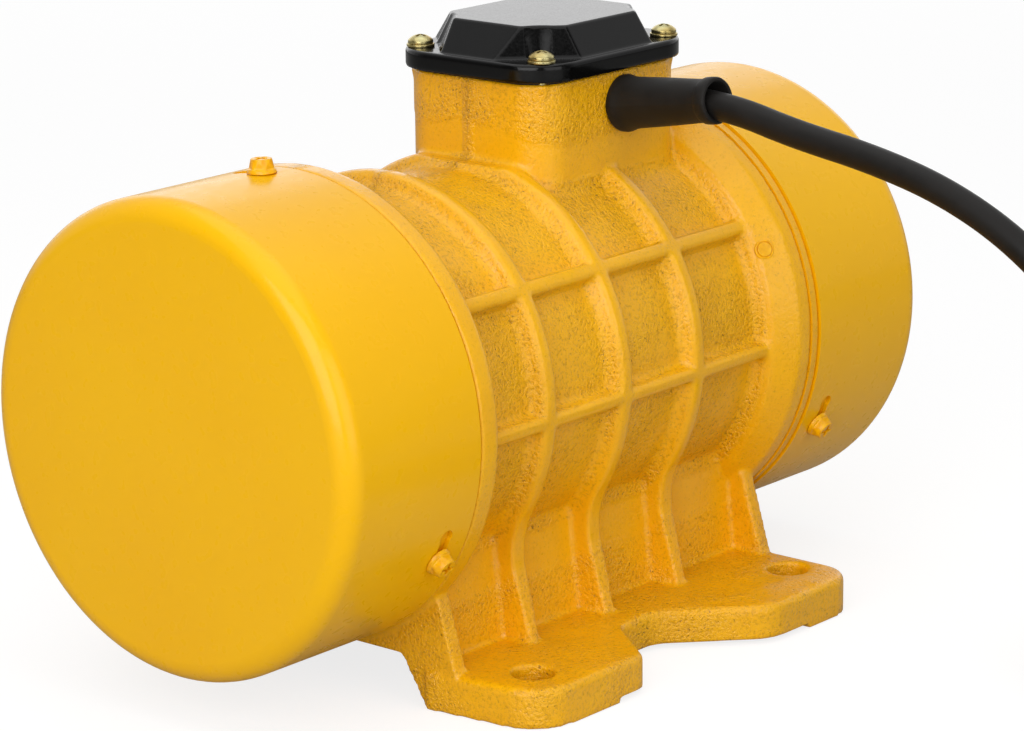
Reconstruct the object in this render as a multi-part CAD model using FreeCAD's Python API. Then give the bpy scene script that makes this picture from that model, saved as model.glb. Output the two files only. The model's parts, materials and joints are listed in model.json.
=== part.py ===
"""Vibration motor: an electric motor with eccentric weights on both shaft ends.

Frame: +Z up, X along the shaft, feet on z = 0, origin midway between the four
foot holes.  "near" is the -X end, "far" is the +X end.  Lengths in millimetres.
"""
import FreeCAD, Part
import math
import os

os.makedirs("parts", exist_ok=True)
V = FreeCAD.Vector

# ---------------------------------------------------------------- driving sizes
AXIS_Z = 101.5            # shaft height above the feet

# housing casting
BORE_R = 62.0             # stator bore
BARREL_R = 70.5           # outside of the barrel between the ribs
FLANGE_R = 85.0           # near flange, flush with the end cap
BAND_R = FLANGE_R - 1.0   # far flange band
NEAR_FACE_X = -98.5       # outer face of the near flange lip
FLANGE_W = 9.5            # width of the near flange
SEAT_X = 94.7             # |x| of both faces that the end shields seat on
BAND_W = 6.7              # width of the far band
SHOULDER_X = 79.0         # top of the far shoulder, where the cone begins
SHOULDER_R = 77.6
RIB_CENTRE_X = -7.0       # middle of the ribbed part of the barrel
RIB_PITCH = 43.0
RIB_RISE = 5.6            # ribs stand this proud of the barrel
RIB_CREST = 5.6           # width of a hoop rib at its crest
RIB_FLARE = 2.6           # extra width each side at its root
RIB_FLAT = 72.8           # the middle rib is flat under the terminal box, above the shaft
RIB_ANGLES = (33.5, -3.5)  # long ribs, degrees above the horizontal
LONG_RIB_RISE = 5.6
LONG_RIB_CREST = 4.6

# feet
FOOT_T = 14.5             # top of the foot plates
PAD_H = 1.5               # machined pads under the foot holes
PAD_NEAR_X, PAD_FAR_X = -50.0, 59.0   # the feet are relieved between these
HOLE_X = 75.5             # foot holes at +-HOLE_X, +-HOLE_Y
HOLE_Y = 87.5
HOLE_R = 7.75
NEAR_LOBE_END = 16.7      # plate beyond a hole along the shaft, at the lobes
FAR_LOBE_END = 14.3
NEAR_LOBE_EDGE = 18.5     # plate beyond a hole across the shaft
FAR_LOBE_EDGE = 22.6
FOOT_WAIST = 8.0          # the waist edge lies this far inside the hole line
LEG_NEAR_X = -96.0        # end faces of the legs
LEG_FAR_X = 89.5
LEG_FOOT_IN = 55.5        # inner edge of a leg on the floor
LEG_WALL_OUT = 56.0       # recessed wall of a leg at the plate
SKIRT_Z = 17.5            # lower edge of the end skirts between the legs
END_WEB_T = 6.4
END_WEB_FOOT_OUT = 69.5
WEB_RIDGE = 5.2           # width of a hoop web at its outer ridge
WEB_DRAFT = 0.13          # a web widens by this much per mm inward, each side
WEB_FOOT_OUT = 68.0       # hoop webs end this far out on the plate

# terminal box, cast on top of the barrel
BOX_X = 38.5
BOX_HALF_X = 43.0
BOX_HALF_Y = 34.3
BOX_CORNER = 15.0
BOX_WALL = 5.0
BOX_TOP = 204.5
BOX_FLOOR = 174.5
BOX_BLEND = 5.0           # root radius between the box and the barrel
LID_SCREW_X = BOX_HALF_X - 7.0
LID_SCREW_Y = BOX_HALF_Y - 5.4
LID_BOSS_R = 6.2
LID_THREAD_R = 2.1
LID_THREAD_L = 10.0       # screw length in the box
WIRE_HOLE_R = 8.0
WIRE_HOLE_X = 36.0

# lid
GASKET_T = 1.0
LID_HALF_X = BOX_HALF_X + 3.3
LID_HALF_Y = BOX_HALF_Y + 3.5
LID_CORNER = BOX_CORNER + 4.0
LID_FLANGE = 6.8
LID_RISE = 11.2           # raised top above the flange
LID_SHELL = 2.6
LID_RIM = 1.9             # flange left around the foot of the raised top
LID_TOP_IN_X = 12.4       # how far the raised top steps in from its own foot
LID_TOP_IN_Y = 8.3
LID_CHAMFER = 23.5        # corners of the raised top, at its foot
LID_TOP_CHAMFER = 11.5    # and at its top
LID_SCOOP_R = 7.8         # hollow of a corner round its screw, at the flange
LID_SCOOP_TOP_R = 13.0    # and at the top

# inside the terminal box
BLOCK_X = 14.0
BLOCK_L, BLOCK_W, BLOCK_H = 22.0, 42.0, 8.0
BARRIER_H = 8.0           # walls between the terminals
CAPACITOR_X = 63.6
CAPACITOR_R = 11.5
CAPACITOR_L = 31.0

# end shields and bearings (cylindrical roller, 30 x 72 x 19)
SPIGOT_L = 18.0
SPIGOT_WALL = 5.0
SHIELD_FLANGE_T = 3.2
FAR_SHIELD_R = FLANGE_R - 0.7
RIM_WALL = 6.0
RIM_END_X = 118.0
WEB_FACE_X = 102.0
HUB_R = 44.0
HUB_IN_X = 66.0
BEARING_IN_X = 72.0
BEARING_W = 19.0
BEARING_R = 36.0
BEARING_BORE = 15.0
RACE_IN_R = 20.4
RACE_OUT_R = 30.6
RING_LIP = 2.0            # lips of the outer ring that guide the rollers
ROLLER_GAP = 0.25
CAGE_PLAY = 0.12
ROLLERS = 12
CAGE_IN_R = 23.6
CAGE_OUT_R = 27.6
COVER_FLANGE_T = 5.0
COVER_RECESS = 9.0        # the cover sits this deep in the shield
COVER_R = 48.0
SHIELD_BOLT_R = 67.0      # circle of the M6 shield bolts
SHIELD_BOLTS = 6
SHIELD_HEAD_R = 5.0
COVER_BOLT_R = 41.0
COVER_BOLTS = 4
PIN_X = 81.0              # pin that locks the far shield
PIN_ANGLE = 25.0
PIN_R = 2.9

# rotor and weights
SHAFT_R = 17.0            # in the rotor core
SHAFT_COLLAR_R = 18.6     # shoulder that the inner ring sits on
SHAFT_END_R = 14.0        # under the weights
SHAFT_END_X = 158.5
CORE_HALF = 42.0
ROTOR_R = 35.0
AIR_GAP = 0.5
ROTOR_SLOTS = 18
STATOR_SLOTS = 24
WINDING_L = 19.0
END_RING_L = 10.0
SLEEVE_R = 19.5
SEAL_GAP = 0.3
WEIGHT_R = 66.0
WEIGHT_HUB_R = 24.0
WEIGHT_SPAN = 75.0        # half angle of a weight sector, degrees
WEIGHT_IN_X = 110.0
WEIGHT_T = 19.0
DISC_T = 2.0              # disc between the fixed and the adjustable weight
WEIGHT_GAP = 0.3
FIT_GAP = 0.06            # running clearance of the adjustable weight on the shaft
CLAMP_BOLT_R = 4.0
CLAMP_SLOT = 2.4
KEY_W = 8.0
KEY_SINK = 4.0            # depth of the key in the shaft
KEY_RISE = 3.0
WASHER_T = 3.0
CIRCLIP_T = 1.6

# end caps, pressed from sheet
CAP_R = FLANGE_R
CAP_END_X = 166.0
CAP_EDGE_X = 99.2
CAP_SHEET = 1.8
RIM_R = CAP_R - CAP_SHEET  # rim of an end shield, inside the cap
SEAL_X = 103.2            # groove for the cap seal
SEAL_W = 2.8
SEAL_T = 1.6
CAP_CORNER = 8.0
CAP_SCREW_X = 111.0
CAP_SCREW_ANGLES = (92.0, -28.0, -148.0)
CAP_SCREW_R = 2.5
CAP_SLOT_W = 6.2
CAP_SLOT_SWEEP = 6.5      # degrees from a screw to the round end of its slot

# cable
CORD_R = 5.25
BOOT_X = 43.2
BOOT_Z = 191.9
BOOT_LEAN = -0.054        # sideways lean of the boot's axis
BOOT_RISE = 0.143         # slope of the boot's axis
BOOT_L = 46.0
BOOT_BASE_R = 10.75
BOOT_ROOT_R = 9.6         # the neck tapers from this
BOOT_R = 8.0              # to this
BOOT_LIP_R = 8.7
BOOT_MOUTH_R = 6.9
BOOT_MOUTH_L = 13.0
BOOT_PLUG_R = 7.6         # the boot's inner end, held in the box wall
CABLE_IN_BOX = 16.0       # cable beyond the box wall
CLAMP_REACH = 9.0         # from the cable to each post of its clamp
CLAMP_POST = 5.0
COIL_X, COIL_Y = 102.5, -264.2
COIL_MID_R = 57.0
COIL_TURN_R = 62.0        # middle of the cord in the outermost turn
PLUG_L, PLUG_W, PLUG_H = 44.0, 27.0, 24.0
BLADE_L = 18.0
EARTH_PIN_L = 20.0

# the cord's route, from inside the boot to the coil's top turn
CORD_ROUTE = [
    (41.3, -70.0, 196.7), (41.4, -86.0, 196.3), (42.0, -113.0, 189.9),
    (42.4, -146.0, 185.1), (42.4, -178.0, 177.1), (42.0, -208.0, 163.1),
    (40.9, -235.5, 141.4), (38.9, -257.9, 111.1), (37.2, -274.8, 79.8),
    (43.4, -293.5, 55.0), (55.5, -309.1, 37.8), (72.1, -320.6, 26.6),
    (91.3, -326.8, 19.6), (111.1, -327.2, 16.2),
]
# from the coil's outer turn on the floor to the plug
TAIL_ROUTE = [
    (164.7, -272.2, 5.3), (165.0, -252.2, 5.6), (164.5, -232.2, 10.4),
    (164.1, -214.2, 12.1),
]

AXIS = V(0, 0, AXIS_Z)
RIB_XS = [RIB_CENTRE_X + i * RIB_PITCH for i in (-1, 0, 1)]
BEARING_OUT_X = BEARING_IN_X + BEARING_W
COVER_IN_X = WEB_FACE_X - COVER_RECESS
LID_BASE = BOX_TOP + GASKET_T
LID_SEAT = LID_BASE + LID_FLANGE
ADJ_IN_X = WEIGHT_IN_X + WEIGHT_T + DISC_T + WEIGHT_GAP
ADJ_OUT_X = ADJ_IN_X + WEIGHT_T


# ---------------------------------------------------------------- shape helpers
def rounded_wire(points, place):
    """A closed wire through points (u, v) or (u, v, corner radius)."""
    n = len(points)
    pts = [V(p[0], p[1], 0) for p in points]
    ends = []
    for i, p in enumerate(points):
        r = p[2] if len(p) > 2 else 0.0
        a = (pts[i - 1] - pts[i]).normalize()
        b = (pts[(i + 1) % n] - pts[i]).normalize()
        half = math.acos(max(-1.0, min(1.0, a.dot(b)))) / 2
        if r <= 0 or half > math.radians(89.9):
            ends.append((pts[i], None, pts[i]))
            continue
        cut = r / math.tan(half)
        bis = (a + b).normalize()
        top = pts[i] + bis * (r / math.sin(half) - r)
        ends.append((pts[i] + a * cut, top, pts[i] + b * cut))
    edges = []
    for i in range(n):
        start, top, stop = ends[i]
        if top is not None:
            edges.append(Part.Arc(place(start), place(top), place(stop)).toShape())
        nxt = ends[(i + 1) % n][0]
        if (nxt - stop).Length > 1e-6:
            edges.append(Part.LineSegment(place(stop), place(nxt)).toShape())
    return Part.Wire(edges)


def turned(points):
    """Revolve a profile of (x, r[, corner radius]) about the shaft axis."""
    wire = rounded_wire(points, lambda p: V(p.x, 0, AXIS_Z + p.y))
    return Part.Face(wire).revolve(AXIS, V(1, 0, 0), 360)


def plate(points, z0, z1):
    """Extrude an outline of (x, y[, corner radius]) from z0 to z1."""
    wire = rounded_wire(points, lambda p: V(p.x, p.y, z0))
    return Part.Face(wire).extrude(V(0, 0, z1 - z0))


def section(points, x0, x1):
    """Extrude a cross-section of (y, z[, corner radius]) from x0 to x1."""
    wire = rounded_wire(points, lambda p: V(x0, p.x, p.y))
    return Part.Face(wire).extrude(V(x1 - x0, 0, 0))


def rect(cx, hx, hy, r):
    return [(cx - hx, -hy, r), (cx + hx, -hy, r), (cx + hx, hy, r), (cx - hx, hy, r)]


def octagon(cx, hx, hy, c, z):
    pts = [(cx - hx + c, -hy), (cx + hx - c, -hy), (cx + hx, -hy + c), (cx + hx, hy - c),
           (cx + hx - c, hy), (cx - hx + c, hy), (cx - hx, hy - c), (cx - hx, -hy + c)]
    return Part.makePolygon([V(x, y, z) for x, y in pts + pts[:1]])


def rod(x0, x1, r):
    return Part.makeCylinder(r, x1 - x0, V(x0, 0, AXIS_Z), V(1, 0, 0))


def tube_x(x0, x1, r_in, r_out):
    return rod(x0, x1, r_out).cut(rod(x0, x1, r_in))


def radial(angle):
    """Unit vector out from the shaft; 0 points to -Y, 90 points up."""
    a = math.radians(angle)
    return V(0, -math.cos(a), math.sin(a))


def on_circle(x, r, angle):
    return AXIS + V(x, 0, 0) + radial(angle) * r


def mirror_x(shape):
    return shape.mirror(V(0, 0, 0), V(1, 0, 0))


def mirror_y(shape):
    return shape.mirror(V(0, 0, 0), V(0, 1, 0))


def both_ends(shape):
    return Part.makeCompound([mirror_x(shape), shape])


def fuse(shapes):
    return shapes[0].multiFuse(shapes[1:]).removeSplitter()


def hexagon(centre, axis, flats, height):
    """A hexagonal prism standing on centre along axis."""
    pts = [V(flats / math.sqrt(3) * math.cos(math.radians(60 * i)),
             flats / math.sqrt(3) * math.sin(math.radians(60 * i)), 0) for i in range(7)]
    solid = Part.Face(Part.makePolygon(pts)).extrude(V(0, 0, height))
    solid.Placement = FreeCAD.Placement(centre, FreeCAD.Rotation(V(0, 0, 1), axis))
    return solid


def export(name, shape):
    shape.exportStep("parts/%s.step" % name)
    print("%-24s solids %2d  volume %10.0f  valid %s"
          % (name, len(shape.Solids), shape.Volume, shape.isValid()))


# ---------------------------------------------------------------- housing
def barrel():
    """The turned form: near flange, hoop ribs, far shoulder, cone and band."""
    crest = BARREL_R + RIB_RISE
    pts = [(NEAR_FACE_X, BORE_R - 6), (NEAR_FACE_X, FLANGE_R, 0.8),
           (NEAR_FACE_X + FLANGE_W, FLANGE_R, 3.0),
           (NEAR_FACE_X + FLANGE_W + 4.0, BARREL_R, 5.0)]
    for x in RIB_XS:
        root = RIB_CREST / 2 + RIB_FLARE
        pts += [(x - root, BARREL_R, 4.0), (x - RIB_CREST / 2, crest, 2.0),
                (x + RIB_CREST / 2, crest, 2.0), (x + root, BARREL_R, 4.0)]
    pts += [(SHOULDER_X - 2.6, BARREL_R, 3.0), (SHOULDER_X, SHOULDER_R, 2.0),
            (SEAT_X - BAND_W, BAND_R - 0.4, 2.0), (SEAT_X, BAND_R, 0.8),
            (SEAT_X, BORE_R - 6)]
    wide = RIB_PITCH / 2
    crown = Part.makeBox(wide, 2 * BOX_HALF_Y, 20,
                         V(RIB_CENTRE_X - wide / 2, -BOX_HALF_Y, AXIS_Z + RIB_FLAT))
    return turned(pts).cut(crown)


def long_ribs():
    """Straight ribs along both sides of the barrel."""
    shapes = []
    half = LONG_RIB_CREST / 2
    for angle in RIB_ANGLES:
        top = BARREL_R + LONG_RIB_RISE
        rib = section([(-half - 1.6, BARREL_R - 3), (-half - 1.2, BARREL_R), (-half, top, 1.6),
                       (half, top, 1.6), (half + 1.2, BARREL_R), (half + 1.6, BARREL_R - 3)],
                      NEAR_FACE_X + 2, SHOULDER_X + 1)
        rib.rotate(V(0, 0, 0), V(1, 0, 0), 90 - angle)
        rib.translate(AXIS)
        shapes += [rib, mirror_y(rib)]
    return shapes


def box_body():
    """The terminal box walls on a plain barrel, with a blended root."""
    drum = rod(-88, 88, BARREL_R)
    box = plate(rect(BOX_X, BOX_HALF_X, BOX_HALF_Y, BOX_CORNER), AXIS_Z, BOX_TOP)
    joined = fuse([drum, box])
    root = []
    for edge in joined.Edges:
        mid = edge.valueAt((edge.FirstParameter + edge.LastParameter) / 2)
        off_axis = math.hypot(mid.y, mid.z - AXIS_Z)
        if abs(off_axis - BARREL_R) < 0.01 and mid.z > AXIS_Z and abs(mid.x) < 87:
            ends = [v.Point.z for v in edge.Vertexes]
            if min(ends) > AXIS_Z + BARREL_R / 2:
                root.append(edge)
    return joined.makeFillet(BOX_BLEND, root)


def leg():
    """One leg: splayed wall, hoop webs, end webs and foot plate (-Y side)."""
    wall = section([(-33, AXIS_Z - 58), (-43, 20, 12), (-LEG_FOOT_IN, 0), (-LEG_WALL_OUT - 4, 0),
                    (-LEG_WALL_OUT, FOOT_T), (-52, 54), (-47, 55)], LEG_NEAR_X, LEG_FAR_X)
    shapes = [wall] + [hoop_web(x) for x in RIB_XS]
    for x0 in (LEG_NEAR_X, LEG_FAR_X - END_WEB_T):
        web = section([(0.5, AXIS_Z - 60), (0.5, SKIRT_Z), (-45.5, SKIRT_Z, 7), (-52.5, 8.5),
                       (-LEG_FOOT_IN, 0, 3), (-END_WEB_FOOT_OUT + 4, 0),
                       (-END_WEB_FOOT_OUT, FOOT_T), (-60.5, 45), (-52, 52.5), (-44, 55.5)],
                      x0, x0 + END_WEB_T)
        shapes.append(web)
    shapes.append(foot_plate())
    relief = Part.makeBox(PAD_FAR_X - PAD_NEAR_X, HOLE_Y, PAD_H, V(PAD_NEAR_X, -1.5 * HOLE_Y, 0))
    return [s.cut(relief) for s in shapes]


def hoop_web(x):
    """Web under a hoop rib: hollowed outer ridge, wider towards the leg wall."""
    side = section([(-36, 26), (-46, 0), (-WEB_FOOT_OUT + 4, 0), (-WEB_FOOT_OUT, FOOT_T),
                    (-58.6, 48.4, 30), (-65.2, 63.5), (-60, 70), (-44, 56)], x - 12, x + 12)
    out, ins = WEB_FOOT_OUT, 36
    half = WEB_RIDGE / 2
    root = half + (out - ins) * WEB_DRAFT
    plan = plate([(x - half, -out), (x + half, -out), (x + root, -ins), (x - root, -ins)],
                 -1, AXIS_Z)
    return side.common(plan)


def foot_plate():
    """Foot plate with a lobe round each hole, a waist and two machined pads."""
    near = -HOLE_Y - NEAR_LOBE_EDGE
    far = -HOLE_Y - FAR_LOBE_EDGE
    near_x = -HOLE_X - NEAR_LOBE_END
    far_x = HOLE_X + FAR_LOBE_END
    waist = -HOLE_Y + FOOT_WAIST
    pts = [(near_x - 5.3, -LEG_FOOT_IN - 1), (far_x, -LEG_FOOT_IN - 1), (far_x, far, 14),
           (RIB_CENTRE_X + 42.7, far, 18), (RIB_CENTRE_X + 10.7, waist, 14),
           (RIB_CENTRE_X - 8.7, waist, 8), (RIB_CENTRE_X - 29, near, 7), (near_x, near, 17)]
    solid = plate(pts, 0, FOOT_T)
    top = [e for e in solid.Edges if e.BoundBox.ZMin > FOOT_T - 0.01
           and e.BoundBox.YMin < -LEG_FOOT_IN - 1.01]
    solid = solid.makeFillet(2.5, top)
    for x in (-HOLE_X, HOLE_X):
        hole = Part.makeCylinder(HOLE_R, FOOT_T + 2, V(x, -HOLE_Y, -1))
        solid = solid.cut(hole)
    return solid


def housing():
    side = leg()
    outer = fuse([box_body(), barrel()] + long_ribs() + side + [mirror_y(s) for s in side])
    cuts = [rod(-SEAT_X - 20, SEAT_X + 20, BORE_R),
            rod(-SEAT_X - 20, -SEAT_X, RIM_R)]
    cavity = plate(rect(BOX_X, BOX_HALF_X - BOX_WALL, BOX_HALF_Y - BOX_WALL,
                        BOX_CORNER - BOX_WALL), BOX_FLOOR, BOX_TOP + 1)
    for x, y in lid_screw_places():
        boss = Part.makeCylinder(LID_BOSS_R, BOX_TOP - BOX_FLOOR + 3, V(x, y, BOX_FLOOR - 1))
        cavity = cavity.cut(boss)
        cuts.append(Part.makeCylinder(LID_THREAD_R, LID_THREAD_L + 6,
                                      V(x, y, BOX_TOP - LID_THREAD_L - 4)))
    cuts.append(cavity)
    cuts.append(Part.makeCylinder(WIRE_HOLE_R, 40, V(WIRE_HOLE_X, 0, AXIS_Z + BORE_R - 8)))
    cuts.append(Part.makeCylinder(BOOT_PLUG_R, 20, boot_point(8), boot_dir() * -1))
    for i in range(SHIELD_BOLTS):
        angle = 60.0 * i
        for side_x, way in ((SEAT_X, -1), (-SEAT_X, 1)):
            cuts.append(Part.makeCylinder(3.0, 16, on_circle(side_x, SHIELD_BOLT_R, angle),
                                          V(way, 0, 0)))
    cuts.append(Part.makeCylinder(PIN_R, 30, on_circle(PIN_X, BORE_R - 5, PIN_ANGLE),
                                  radial(PIN_ANGLE)))
    return outer.cut(Part.makeCompound(cuts))


def locking_pin():
    """Pin that stops the far end shield from turning in its bore."""
    tip = SHOULDER_R + (PIN_X - SHOULDER_X) * (BAND_R - SHOULDER_R) / (SEAT_X - BAND_W - SHOULDER_X)
    return Part.makeCylinder(PIN_R, tip + 0.5 - (BORE_R - 3), on_circle(PIN_X, BORE_R - 3, PIN_ANGLE),
                             radial(PIN_ANGLE))


def lid_screw_places():
    return [(BOX_X + sx * LID_SCREW_X, sy * LID_SCREW_Y) for sx in (-1, 1) for sy in (-1, 1)]


# ---------------------------------------------------------------- end shields
def end_shield(flange_r, far):
    """Bearing shield with spigot, web, hub and the rim that carries the cap."""
    spigot_in = SEAT_X - SPIGOT_L
    pts = [(HUB_IN_X, BEARING_R - 5), (HUB_IN_X, HUB_R, 2), (SEAT_X - 12, HUB_R + 3, 4),
           (SEAT_X - 9, BORE_R - SPIGOT_WALL, 3), (spigot_in, BORE_R - SPIGOT_WALL),
           (spigot_in, BORE_R), (SEAT_X, BORE_R), (SEAT_X, flange_r),
           (SEAT_X + SHIELD_FLANGE_T, flange_r)]
    if flange_r > RIM_R:
        pts.append((SEAT_X + SHIELD_FLANGE_T, RIM_R))
    pts += [(SEAL_X, RIM_R), (SEAL_X, RIM_R - SEAL_T), (SEAL_X + SEAL_W, RIM_R - SEAL_T),
            (SEAL_X + SEAL_W, RIM_R), (RIM_END_X, RIM_R), (RIM_END_X, RIM_R - RIM_WALL),
            (WEB_FACE_X, RIM_R - RIM_WALL, 2), (WEB_FACE_X, COVER_R), (COVER_IN_X, COVER_R),
            (COVER_IN_X, BEARING_R), (BEARING_IN_X, BEARING_R), (BEARING_IN_X, BEARING_R - 5)]
    solid = turned(pts)
    cuts = []
    for i in range(SHIELD_BOLTS):
        cuts.append(Part.makeCylinder(3.3, 40, on_circle(SEAT_X - 4, SHIELD_BOLT_R, 60.0 * i),
                                      V(1, 0, 0)))
        cuts.append(Part.makeCylinder(SHIELD_HEAD_R + 0.6, 20,
                                      on_circle(WEB_FACE_X, SHIELD_BOLT_R, 60.0 * i), V(1, 0, 0)))
    for i in range(COVER_BOLTS):
        cuts.append(Part.makeCylinder(2.1, 14, on_circle(COVER_IN_X, COVER_BOLT_R, 45 + 90.0 * i),
                                      V(-1, 0, 0)))
    for angle in CAP_SCREW_ANGLES:
        cuts.append(Part.makeCylinder(CAP_SCREW_R, 20,
                                      on_circle(CAP_SCREW_X, RIM_R - RIM_WALL - 4, angle),
                                      radial(angle)))
    if far:
        cuts.append(Part.makeCylinder(PIN_R, 12, on_circle(PIN_X, BORE_R - 3, PIN_ANGLE),
                                      radial(PIN_ANGLE)))
    return solid.cut(Part.makeCompound(cuts))


def socket_screw(at, axis, r, length, head_r, head_h, key):
    """Cap screw: at is under its head, axis points out of the head."""
    shank = Part.makeCylinder(r, length, at, axis * -1)
    head = Part.makeCylinder(head_r, head_h, at, axis)
    return shank.fuse(head).cut(hexagon(at + axis * (head_h * 0.45), axis, key, head_h))


def shield_bolts():
    shapes = []
    for i in range(SHIELD_BOLTS):
        at = on_circle(WEB_FACE_X, SHIELD_BOLT_R, 60.0 * i)
        shapes.append(socket_screw(at, V(1, 0, 0), 3.0, WEB_FACE_X - SEAT_X + 14,
                                   SHIELD_HEAD_R, 6.0, 5.0))
    return Part.makeCompound(shapes + [mirror_x(s) for s in shapes])


def bearing_cover():
    """Outer bearing cover with a bore for the shaft seal."""
    solid = turned([(BEARING_OUT_X, BEARING_R), (COVER_IN_X, BEARING_R), (COVER_IN_X, COVER_R - 0.4),
                    (COVER_IN_X + COVER_FLANGE_T, COVER_R - 0.4, 0.6),
                    (COVER_IN_X + COVER_FLANGE_T, SLEEVE_R + 6), (BEARING_OUT_X + 2, SLEEVE_R + 6),
                    (BEARING_OUT_X + 2, SLEEVE_R + 3), (BEARING_OUT_X, SLEEVE_R + 3)])
    cuts = [Part.makeCylinder(2.6, 20, on_circle(COVER_IN_X - 1, COVER_BOLT_R, 45 + 90.0 * i),
                              V(1, 0, 0)) for i in range(COVER_BOLTS)]
    return solid.cut(Part.makeCompound(cuts))


def cover_screws():
    shapes = []
    for i in range(COVER_BOLTS):
        at = on_circle(COVER_IN_X + COVER_FLANGE_T, COVER_BOLT_R, 45 + 90.0 * i)
        shapes.append(socket_screw(at, V(1, 0, 0), 2.1, COVER_FLANGE_T + 10, 4.2, 3.0, 3.0))
    return Part.makeCompound(shapes + [mirror_x(s) for s in shapes])


def shaft_seal():
    """Rubber lip seal in the cover, running just clear of the sleeve."""
    x0 = BEARING_OUT_X + 2
    x1 = COVER_IN_X + COVER_FLANGE_T
    return tube_x(x0, x1, SLEEVE_R + SEAL_GAP, SLEEVE_R + 6)


def outer_ring():
    body = tube_x(BEARING_IN_X, BEARING_OUT_X, RACE_OUT_R - 1.4, BEARING_R)
    return body.cut(rod(BEARING_IN_X + RING_LIP, BEARING_OUT_X - RING_LIP, RACE_OUT_R))


def inner_ring():
    return tube_x(BEARING_IN_X, BEARING_OUT_X, BEARING_BORE, RACE_IN_R)


def rollers():
    pitch = (RACE_IN_R + RACE_OUT_R) / 2
    r = (RACE_OUT_R - RACE_IN_R) / 2 - ROLLER_GAP
    x0 = BEARING_IN_X + RING_LIP + ROLLER_GAP
    x1 = BEARING_OUT_X - RING_LIP - ROLLER_GAP
    return [Part.makeCylinder(r, x1 - x0, on_circle(x0, pitch, 360.0 * i / ROLLERS), V(1, 0, 0))
            for i in range(ROLLERS)]


def cage():
    """Brass cage: a ring bored through for each roller, closed at both ends."""
    x0 = BEARING_IN_X + 0.6
    x1 = BEARING_OUT_X - 0.6
    ring = tube_x(x0, x1, CAGE_IN_R, CAGE_OUT_R)
    pitch = (RACE_IN_R + RACE_OUT_R) / 2
    r = (RACE_OUT_R - RACE_IN_R) / 2 - ROLLER_GAP + CAGE_PLAY
    x1 = BEARING_IN_X + RING_LIP + ROLLER_GAP - CAGE_PLAY
    length = BEARING_W - 2 * (RING_LIP + ROLLER_GAP - CAGE_PLAY)
    pockets = [Part.makeCylinder(r, length, on_circle(x1, pitch, 360.0 * i / ROLLERS), V(1, 0, 0))
               for i in range(ROLLERS)]
    return ring.cut(Part.makeCompound(pockets))


# ---------------------------------------------------------------- rotor
def shaft():
    pts = [(0, 0), (SHAFT_END_X, 0), (SHAFT_END_X, SHAFT_END_R, 1.2),
           (WEIGHT_IN_X - 0.5, SHAFT_END_R), (WEIGHT_IN_X - 0.5, BEARING_BORE),
           (BEARING_IN_X, BEARING_BORE), (BEARING_IN_X, SHAFT_COLLAR_R, 0.8),
           (CORE_HALF + END_RING_L + 4, SHAFT_COLLAR_R, 0.8),
           (CORE_HALF + END_RING_L + 4, SHAFT_R), (0, SHAFT_R)]
    half = turned(pts)
    solid = half.fuse(mirror_x(half)).removeSplitter()
    cuts = []
    for sign in (-1, 1):
        x0 = min(sign * WEIGHT_IN_X, sign * (SHAFT_END_X - 14))
        cuts.append(Part.makeBox(SHAFT_END_X - 14 - WEIGHT_IN_X, KEY_W, 6,
                                 V(x0, -KEY_W / 2, AXIS_Z + SHAFT_END_R - KEY_SINK)))
        groove = retaining_x()
        ring = tube_x(groove, groove + CIRCLIP_T, SHAFT_END_R - 1.0, SHAFT_END_R + 1)
        cuts.append(ring if sign > 0 else mirror_x(ring))
    return solid.cut(Part.makeCompound(cuts))


def retaining_x():
    return ADJ_OUT_X + WEIGHT_GAP + WASHER_T


def weight_key():
    """Key in the shaft end, locking the fixed weight."""
    return Part.makeBox(WEIGHT_T, KEY_W, KEY_SINK + KEY_RISE,
                        V(WEIGHT_IN_X, -KEY_W / 2, AXIS_Z + SHAFT_END_R - KEY_SINK))


def retaining_ring():
    """Washer and snap ring that hold the weights on the shaft."""
    x = retaining_x()
    washer = tube_x(x - WASHER_T, x, SHAFT_END_R, WEIGHT_HUB_R - 3)
    clip = tube_x(x, x + CIRCLIP_T, SHAFT_END_R - 1.0, SHAFT_END_R + 3.5)
    gap = Part.makeBox(10, 7, 20, V(x - 2, -3.5, AXIS_Z))
    return [washer, clip.cut(gap)]


def rotor_core():
    core = tube_x(-CORE_HALF, CORE_HALF, SHAFT_R, ROTOR_R)
    slots = [rod(-CORE_HALF - 1, CORE_HALF + 1, 2.6).translated(radial(360.0 * i / ROTOR_SLOTS)
                                                             * (ROTOR_R - 4.5))
             for i in range(ROTOR_SLOTS)]
    return core.cut(Part.makeCompound(slots))


def rotor_cage():
    """Cast aluminium squirrel cage: bars through the core and two end rings."""
    bars = [rod(-CORE_HALF - 2, CORE_HALF + 2, 2.6).translated(radial(360.0 * i / ROTOR_SLOTS)
                                                            * (ROTOR_R - 4.5))
            for i in range(ROTOR_SLOTS)]
    ring = tube_x(CORE_HALF, CORE_HALF + END_RING_L, ROTOR_R - 12, ROTOR_R - 0.5)
    return fuse([ring, mirror_x(ring)] + bars)


def spacer_sleeve():
    return tube_x(BEARING_OUT_X, WEIGHT_IN_X, BEARING_BORE, SLEEVE_R)


def weight_disc():
    return tube_x(WEIGHT_IN_X + WEIGHT_T, WEIGHT_IN_X + WEIGHT_T + DISC_T, SHAFT_END_R,
                  WEIGHT_HUB_R)


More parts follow.
